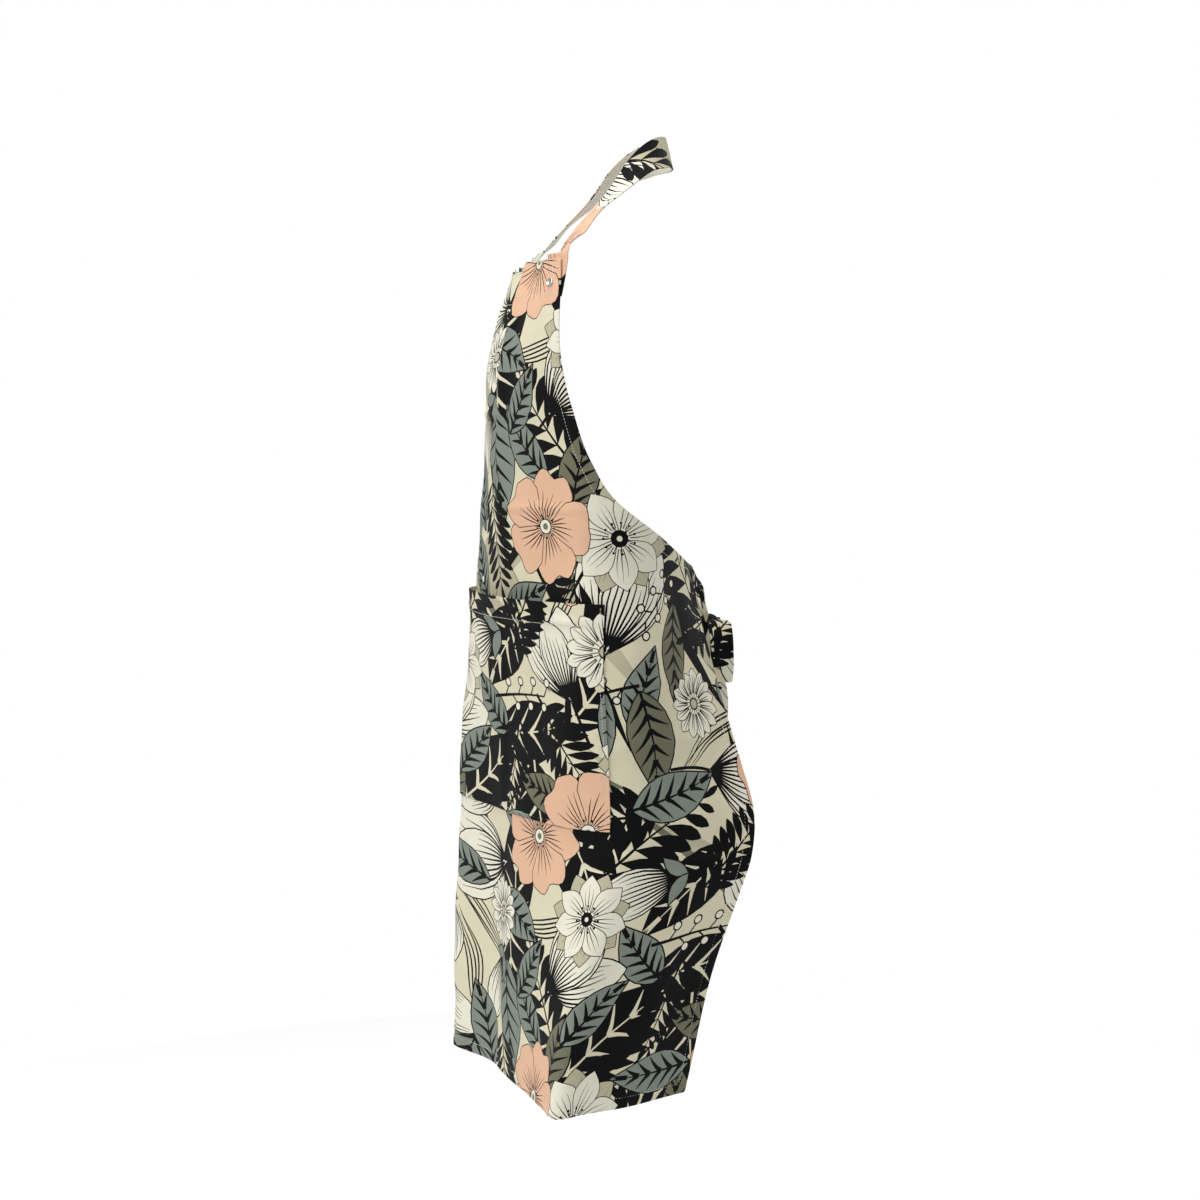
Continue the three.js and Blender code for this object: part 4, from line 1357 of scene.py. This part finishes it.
def stitches(name, surface, lines):
    points, faces = [], []
    for line in lines:
        line = dense(np.array(line, float), 1)
        lengths = np.concatenate([[0], np.cumsum(np.linalg.norm(np.diff(line, axis=0), axis=1))])
        starts = np.arange(STITCH_PITCH / 2, lengths[-1] - STITCH_PITCH, STITCH_PITCH)
        for start in starts:
            at = start + np.array([0, STITCH_SHARE * STITCH_PITCH])
            flat = np.column_stack([np.interp(at, lengths, line[:, k]) for k in (0, 1)])
            points.append([surface.point(flat), surface.normal(flat)])
    ends = np.array([p for p, _ in points])
    normals = np.array([n for _, n in points])[:, 0]
    along = unit(ends[:, 1] - ends[:, 0])
    side = unit(np.cross(along, normals))
    angles = 2 * math.pi * np.arange(THREAD_SIDES) / THREAD_SIDES
    circle = np.cos(angles)[:, None] * side[:, None] + np.sin(angles)[:, None] * normals[:, None]
    rings = [
        (ends[:, 0] * (1 - share) + ends[:, 1] * share)[:, None] + circle * radius * THREAD_RADIUS
        for share, radius in THREAD_RINGS
    ]
    corners = np.stack(rings, axis=1) + normals[:, None, None] * THREAD_RADIUS * 0.2
    count, ring_count = len(ends), len(THREAD_RINGS)
    number = np.arange(count * ring_count * THREAD_SIDES).reshape(count, ring_count, THREAD_SIDES)
    after = np.roll(number, -1, axis=2)
    for ring in range(ring_count - 1):
        quads = [number[:, ring], number[:, ring + 1], after[:, ring + 1], after[:, ring]]
        faces.extend(np.stack(quads, axis=-1).reshape(-1, 4).tolist())
    faces.extend(number[:, 0].tolist())
    faces.extend(number[:, -1, ::-1].tolist())
    mesh = bpy.data.meshes.new(name)
    mesh.from_pydata(corners.reshape(-1, 3) * MM, [], faces)
    mesh.shade_smooth()
    return mesh


# Round solid turned from a profile of radii and heights, about an axis through a point
def turned(name, profile, sides, middle, axis):
    shape = bmesh.new()
    rings = []
    for radius, height in profile:
        circle = disc(radius, count=sides)
        rings.append([shape.verts.new((x * MM, y * MM, height * MM)) for x, y in circle])
    for low, high in zip(rings, rings[1:]):
        for k in range(sides):
            after = (k + 1) % sides
            shape.faces.new([low[k], low[after], high[after], high[k]])
    shape.faces.new(rings[0][::-1])
    shape.faces.new(rings[-1])
    turn = Vector((0, 0, 1)).rotation_difference(Vector(axis)).to_matrix().to_4x4()
    shape.transform(Matrix.Translation(Vector(middle) * MM) @ turn)
    bmesh.ops.recalc_face_normals(shape, faces=shape.faces)
    mesh = bpy.data.meshes.new(name)
    shape.to_mesh(mesh)
    shape.free()
    mesh.shade_smooth()
    return mesh


# Knot of wrapped cloth, pleated round its middle, whose ends close just short of the axis
KNOT_RINGS = 28
KNOT_SIDES = 40


def knot_mesh(name):
    polar = np.linspace(0.02, math.pi - 0.02, KNOT_RINGS)[:, None]
    around = 2 * math.pi * np.arange(KNOT_SIDES)[None, :] / KNOT_SIDES
    pleats = 1 + 0.07 * np.cos(7 * polar + 1.1 * np.sin(around)) + 0.04 * np.sin(2 * around + 3 * polar)
    girth = KNOT_RADIUS * np.sin(polar) ** 0.6 * pleats
    length = KNOT_RADIUS * np.sign(np.cos(polar)) * np.abs(np.cos(polar)) ** 0.85
    points = np.stack(
        [length + 0 * around, girth * np.cos(around), KNOT_FLATNESS * girth * np.sin(around)], axis=-1
    )
    number = np.arange(KNOT_RINGS * KNOT_SIDES).reshape(KNOT_RINGS, KNOT_SIDES)
    after = np.roll(number, -1, axis=1)
    quads = np.stack([number[:-1], after[:-1], after[1:], number[1:]], axis=-1).reshape(-1, 4)
    faces = [*quads.tolist(), number[0, ::-1].tolist(), number[-1].tolist()]
    mesh = bpy.data.meshes.new(name)
    mesh.from_pydata((points.reshape(-1, 3) + KNOT) * MM, [], faces)
    mesh.shade_smooth()
    corners = len(mesh.loops)
    colour = mesh.color_attributes.new(INK, "FLOAT_COLOR", "CORNER")
    colour.data.foreach_set("color", np.tile([*INKS["black"], 1], corners).astype(np.float32))
    return mesh


# Node materials
class Nodes:
    def __init__(self, name):
        self.material = bpy.data.materials.new(name)
        self.material.use_nodes = True
        self.tree = self.material.node_tree
        self.shader = self.tree.nodes["Principled BSDF"]

    def add(self, kind, inputs=(), **values):
        node = self.tree.nodes.new(kind)
        for name, value in values.items():
            setattr(node, name, value)
        return self.put(node, inputs)

    def put(self, node, inputs):
        for name, value in dict(inputs).items():
            node.inputs[name].default_value = value
        return node

    def link(self, source, target):
        self.tree.links.new(source, target)


def cloth_material(name, thread, roughness, sheen, bump):
    nodes = Nodes(name)
    shader = nodes.put(
        nodes.shader,
        {
            "Roughness": roughness,
            "Sheen Weight": sheen,
            "Sheen Roughness": 0.5,
            "Specular IOR Level": 0.1,
        },
    )
    ink_node = nodes.add("ShaderNodeAttribute", attribute_name=INK)
    place = nodes.add("ShaderNodeAttribute", attribute_name=WEAVE)
    mottle = nodes.add("ShaderNodeTexNoise", {"Scale": 60, "Detail": 6})
    nodes.link(place.outputs["Vector"], mottle.inputs["Vector"])
    shade = nodes.add("ShaderNodeMapRange", {"To Min": 0.93, "To Max": 1.05})
    nodes.link(mottle.outputs["Fac"], shade.inputs["Value"])
    tint = nodes.add("ShaderNodeVectorMath", operation="SCALE")
    nodes.link(ink_node.outputs["Color"], tint.inputs["Vector"])
    nodes.link(shade.outputs["Result"], tint.inputs["Scale"])
    nodes.link(tint.outputs["Vector"], shader.inputs["Base Color"])
    rows = {"Scale": thread, "Distortion": 1.5, "Detail": 2, "Detail Scale": 2}
    weave = nodes.add("ShaderNodeMath", operation="MULTIPLY")
    for number, axis in enumerate(("X", "Y")):
        wave = nodes.add("ShaderNodeTexWave", rows, bands_direction=axis)
        nodes.link(place.outputs["Vector"], wave.inputs["Vector"])
        nodes.link(wave.outputs["Fac"], weave.inputs[number])
    lumps = nodes.add("ShaderNodeMath", {1: 0.6}, operation="MULTIPLY_ADD")
    nodes.link(mottle.outputs["Fac"], lumps.inputs[0])
    nodes.link(weave.outputs["Value"], lumps.inputs[2])
    relief = nodes.add("ShaderNodeBump", {"Strength": 0.5, "Distance": bump})
    nodes.link(lumps.outputs["Value"], relief.inputs["Height"])
    nodes.link(relief.outputs["Normal"], shader.inputs["Normal"])
    return nodes.material


def metal_material(name, colour, roughness):
    nodes = Nodes(name)
    nodes.put(nodes.shader, {"Metallic": 1, "Base Color": [*colour, 1]})
    scratches = nodes.add("ShaderNodeTexNoise", {"Scale": 900})
    spread = nodes.add("ShaderNodeMapRange", {"To Min": roughness, "To Max": roughness + 0.2})
    nodes.link(scratches.outputs["Fac"], spread.inputs["Value"])
    nodes.link(spread.outputs["Result"], nodes.shader.inputs["Roughness"])
    return nodes.material


def thread_material(name, colour):
    nodes = Nodes(name)
    nodes.put(nodes.shader, {"Roughness": 0.7, "Sheen Weight": 0.3})
    twist = nodes.add("ShaderNodeTexNoise", {"Scale": 1500})
    ramp = nodes.add("ShaderNodeValToRGB")
    ramp.color_ramp.elements[0].color = [*(colour * 0.75), 1]
    ramp.color_ramp.elements[1].color = [*colour, 1]
    nodes.link(twist.outputs["Fac"], ramp.inputs["Fac"])
    nodes.link(ramp.outputs["Color"], nodes.shader.inputs["Base Color"])
    return nodes.material


def plain_material(name, colour):
    nodes = Nodes(name)
    nodes.put(nodes.shader, {"Base Color": [*colour, 1], "Roughness": 0.9})
    return nodes.material


cotton = cloth_material("printed cotton", thread=320, roughness=0.85, sheen=0.05, bump=0.0002)
steel = metal_material("nickel", screen_ink(205, 203, 196), 0.22)
thread = thread_material("pale thread", screen_ink(226, 222, 208))


def add_object(name, mesh, material, slot, *nodes):
    piece = bpy.data.objects.new(name, mesh)
    bpy.context.collection.objects.link(piece)
    mesh.materials.append(material)
    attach(piece, "root")
    if nodes:
        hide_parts(*nodes)
    return piece


# Where each piece was cut from the printed cloth
PANEL_PRINT = np.array([-370, 0])
POCKET_PRINT = np.array([-110, 260])
STRIP_PRINT = {"printed_cloth": np.array([40, 170]), "dark_cloth": np.array([620, 625])}

# Bib and skirt
panel_surface = draped(PANEL_ACROSS, steps(0, PANEL_LENGTH, GRAIN), panel_lift)
outline = panel_outline(0, 0, 0)
inset = panel_outline(TOP_HEM, EDGE_HEM, EDGE_HEM)
mesh = cloth_mesh("bib_and_skirt", panel_surface, outline, HEM_LIFT, PANEL_PRINT, inset=inset)
panel = add_object("bib_and_skirt", mesh, cotton, "printed_cloth", "apron_panel")
seams = [
    [[-half_width(TOP_HEM), TOP_HEM], [half_width(TOP_HEM), TOP_HEM]],
    panel_outline(1, EDGE_HEM, EDGE_HEM),
]
panel_thread = add_object(
    "panel_thread", stitches("panel_thread", panel_surface, seams), thread, "printed_cloth"
)

# Patch pocket
pocket_drops = steps(POCKET_DROP, POCKET_DROP + POCKET_LENGTH, GRAIN)
pocket_surface = draped(POCKET_ACROSS, pocket_drops, pocket_lift)
outline = rectangle((-POCKET_HALF_WIDTH, POCKET_DROP), (POCKET_HALF_WIDTH, POCKET_DROP + POCKET_LENGTH))
mesh = cloth_mesh("patch_pocket", pocket_surface, outline, CLOTH, POCKET_PRINT)
pocket = add_object("patch_pocket", mesh, cotton, "printed_cloth", "pocket")
side, low = POCKET_HALF_WIDTH - POCKET_SEAM, POCKET_DROP + POCKET_LENGTH - POCKET_SEAM
mouth = POCKET_DROP + MOUTH_HEM
seams = [
    [[-side, POCKET_DROP + 1], [-side, low], [side, low], [side, POCKET_DROP + 1]],
    [[-side, mouth], [side, mouth]],
]
pocket_thread = add_object(
    "pocket_thread", stitches("pocket_thread", pocket_surface, seams), thread, "printed_cloth"
)


# Strips: neck strap, waist ties, and the bow's loops and tails
def add_strip(name, node, surface, thickness, slot, held, rests_on):
    outline = strip_outline(surface)
    mesh = cloth_mesh(name, surface, outline, thickness, STRIP_PRINT[slot], pitch=STRIP_PITCH)
    piece = add_object(name, mesh, cotton, slot, node)
    return piece


STRAP = ("strap_cloth", "neck_strap", strap_surface(), STRAP_THICKNESS, "printed_cloth")
add_strip(*STRAP, held="hung", rests_on=["bib_and_skirt"])
TIE_PARTS = [
    ("tie_cloth", "waist_tie", tie_surface, "gathered", ["bib_and_skirt", "knot_cloth"]),
    ("loop_cloth", "bow_loop", loop_surface, "hung", ["knot_cloth"]),
    ("tail_cloth", "tie_tail", tail_surface, "hung", ["knot_cloth"]),
]
for hand, sign in (("left", 1), ("right", -1)):
    for cloth, node, surface, held, rests_on in TIE_PARTS:
        tie = (f"{cloth}_{hand}", f"{node}_{hand}", surface(sign), TIE_THICKNESS, "dark_cloth")
        add_strip(*tie, held=held, rests_on=rests_on)
add_object("knot_cloth", knot_mesh("knot_cloth"), cotton, "dark_cloth", "bow_knot")

# Press stud: a domed ring on the bib's face
stud_place = np.array([[STRAP_ACROSS, STUD_DROP]])
stud_middle, stud_axis = panel_surface.point(stud_place)[0], panel_surface.normal(stud_place)[0]
STUD_PROFILE = STUD_RADIUS * np.array(
    [
        [0.9, 0.02],
        [1.0, 0.08],
        [0.98, 0.24],
        [0.86, 0.36],
        [0.74, 0.36],
        [0.6, 0.26],
        [0.5, 0.14],
        [0.3, 0.15],
        [0.1, 0.17],
        [0.02, 0.175],
    ]
)
STUD_SIDES = 48
mesh = turned("stud_cap", STUD_PROFILE, STUD_SIDES, stud_middle, stud_axis)
add_object("stud_cap", mesh, steel, "stud_metal", "snap_cap")
for place in bpy.data.objects["snap_socket"].material_slots:
    place.material = steel

# Floor, light and camera
floor = bpy.data.objects.new("floor", bpy.data.meshes.new("floor"))
shape = bmesh.new()
bmesh.ops.create_circle(shape, cap_ends=True, segments=96, radius=FLOOR_RADIUS)
shape.to_mesh(floor.data)
shape.free()
floor.location = (0, 0, FLOOR_HEIGHT * MM)
floor.data.materials.append(plain_material("pale floor", screen_ink(253, 253, 253)))
bpy.context.collection.objects.link(floor)

LAMPS = [
    {"place": (0.9, -3.0, 1.6), "size": 2.0, "power": 82},
    {"place": (0.2, -0.4, 2.9), "size": 2.6, "power": 74},
    {"place": (3.3, 0.7, 1.2), "size": 2.4, "power": 20},
    {"place": (-1.8, 2.9, 0.9), "size": 2.4, "power": 42},
]
target = Vector((0, -NAPE_BEHIND_AXIS, AIM_HEIGHT)) * MM
for number, lamp in enumerate(LAMPS):
    light = bpy.data.lights.new(f"lamp {number}", "AREA")
    light.shape = "DISK"
    light.size = lamp["size"]
    light.energy = lamp["power"]
    lit = bpy.data.objects.new(light.name, light)
    lit.location = lamp["place"]
    lit.rotation_euler = (target - lit.location).to_track_quat("-Z", "Y").to_euler()
    bpy.context.collection.objects.link(lit)

# The studio's white surroundings are brighter to the eye than the light that they give
WORLD_LIGHT = 0.38
world = bpy.data.worlds.new("studio")
bpy.context.scene.world = world
world.use_nodes = True
surroundings = world.node_tree
surroundings.nodes["Background"].inputs["Color"].default_value = (1, 1, 1, 1)
seen = surroundings.nodes.new("ShaderNodeLightPath")
strength = surroundings.nodes.new("ShaderNodeMapRange")
strength.inputs["To Min"].default_value = WORLD_LIGHT
strength.inputs["To Max"].default_value = 1
surroundings.links.new(seen.outputs["Is Camera Ray"], strength.inputs["Value"])
surroundings.links.new(strength.outputs["Result"], surroundings.nodes["Background"].inputs["Strength"])
bpy.context.scene.view_settings.view_transform = "Standard"

camera = bpy.data.objects.new("camera", bpy.data.cameras.new("camera"))
camera.data.lens = LENS
camera.data.sensor_width = SENSOR_WIDTH
around = math.radians(EYE_AZIMUTH)
eye = Vector(
    (
        EYE_DISTANCE * math.sin(around),
        -NAPE_BEHIND_AXIS - EYE_DISTANCE * math.cos(around),
        EYE_HEIGHT,
    )
)
camera.location = eye * MM
camera.rotation_euler = (target - camera.location).to_track_quat("-Z", "Y").to_euler()
bpy.context.collection.objects.link(camera)
bpy.context.scene.camera = camera
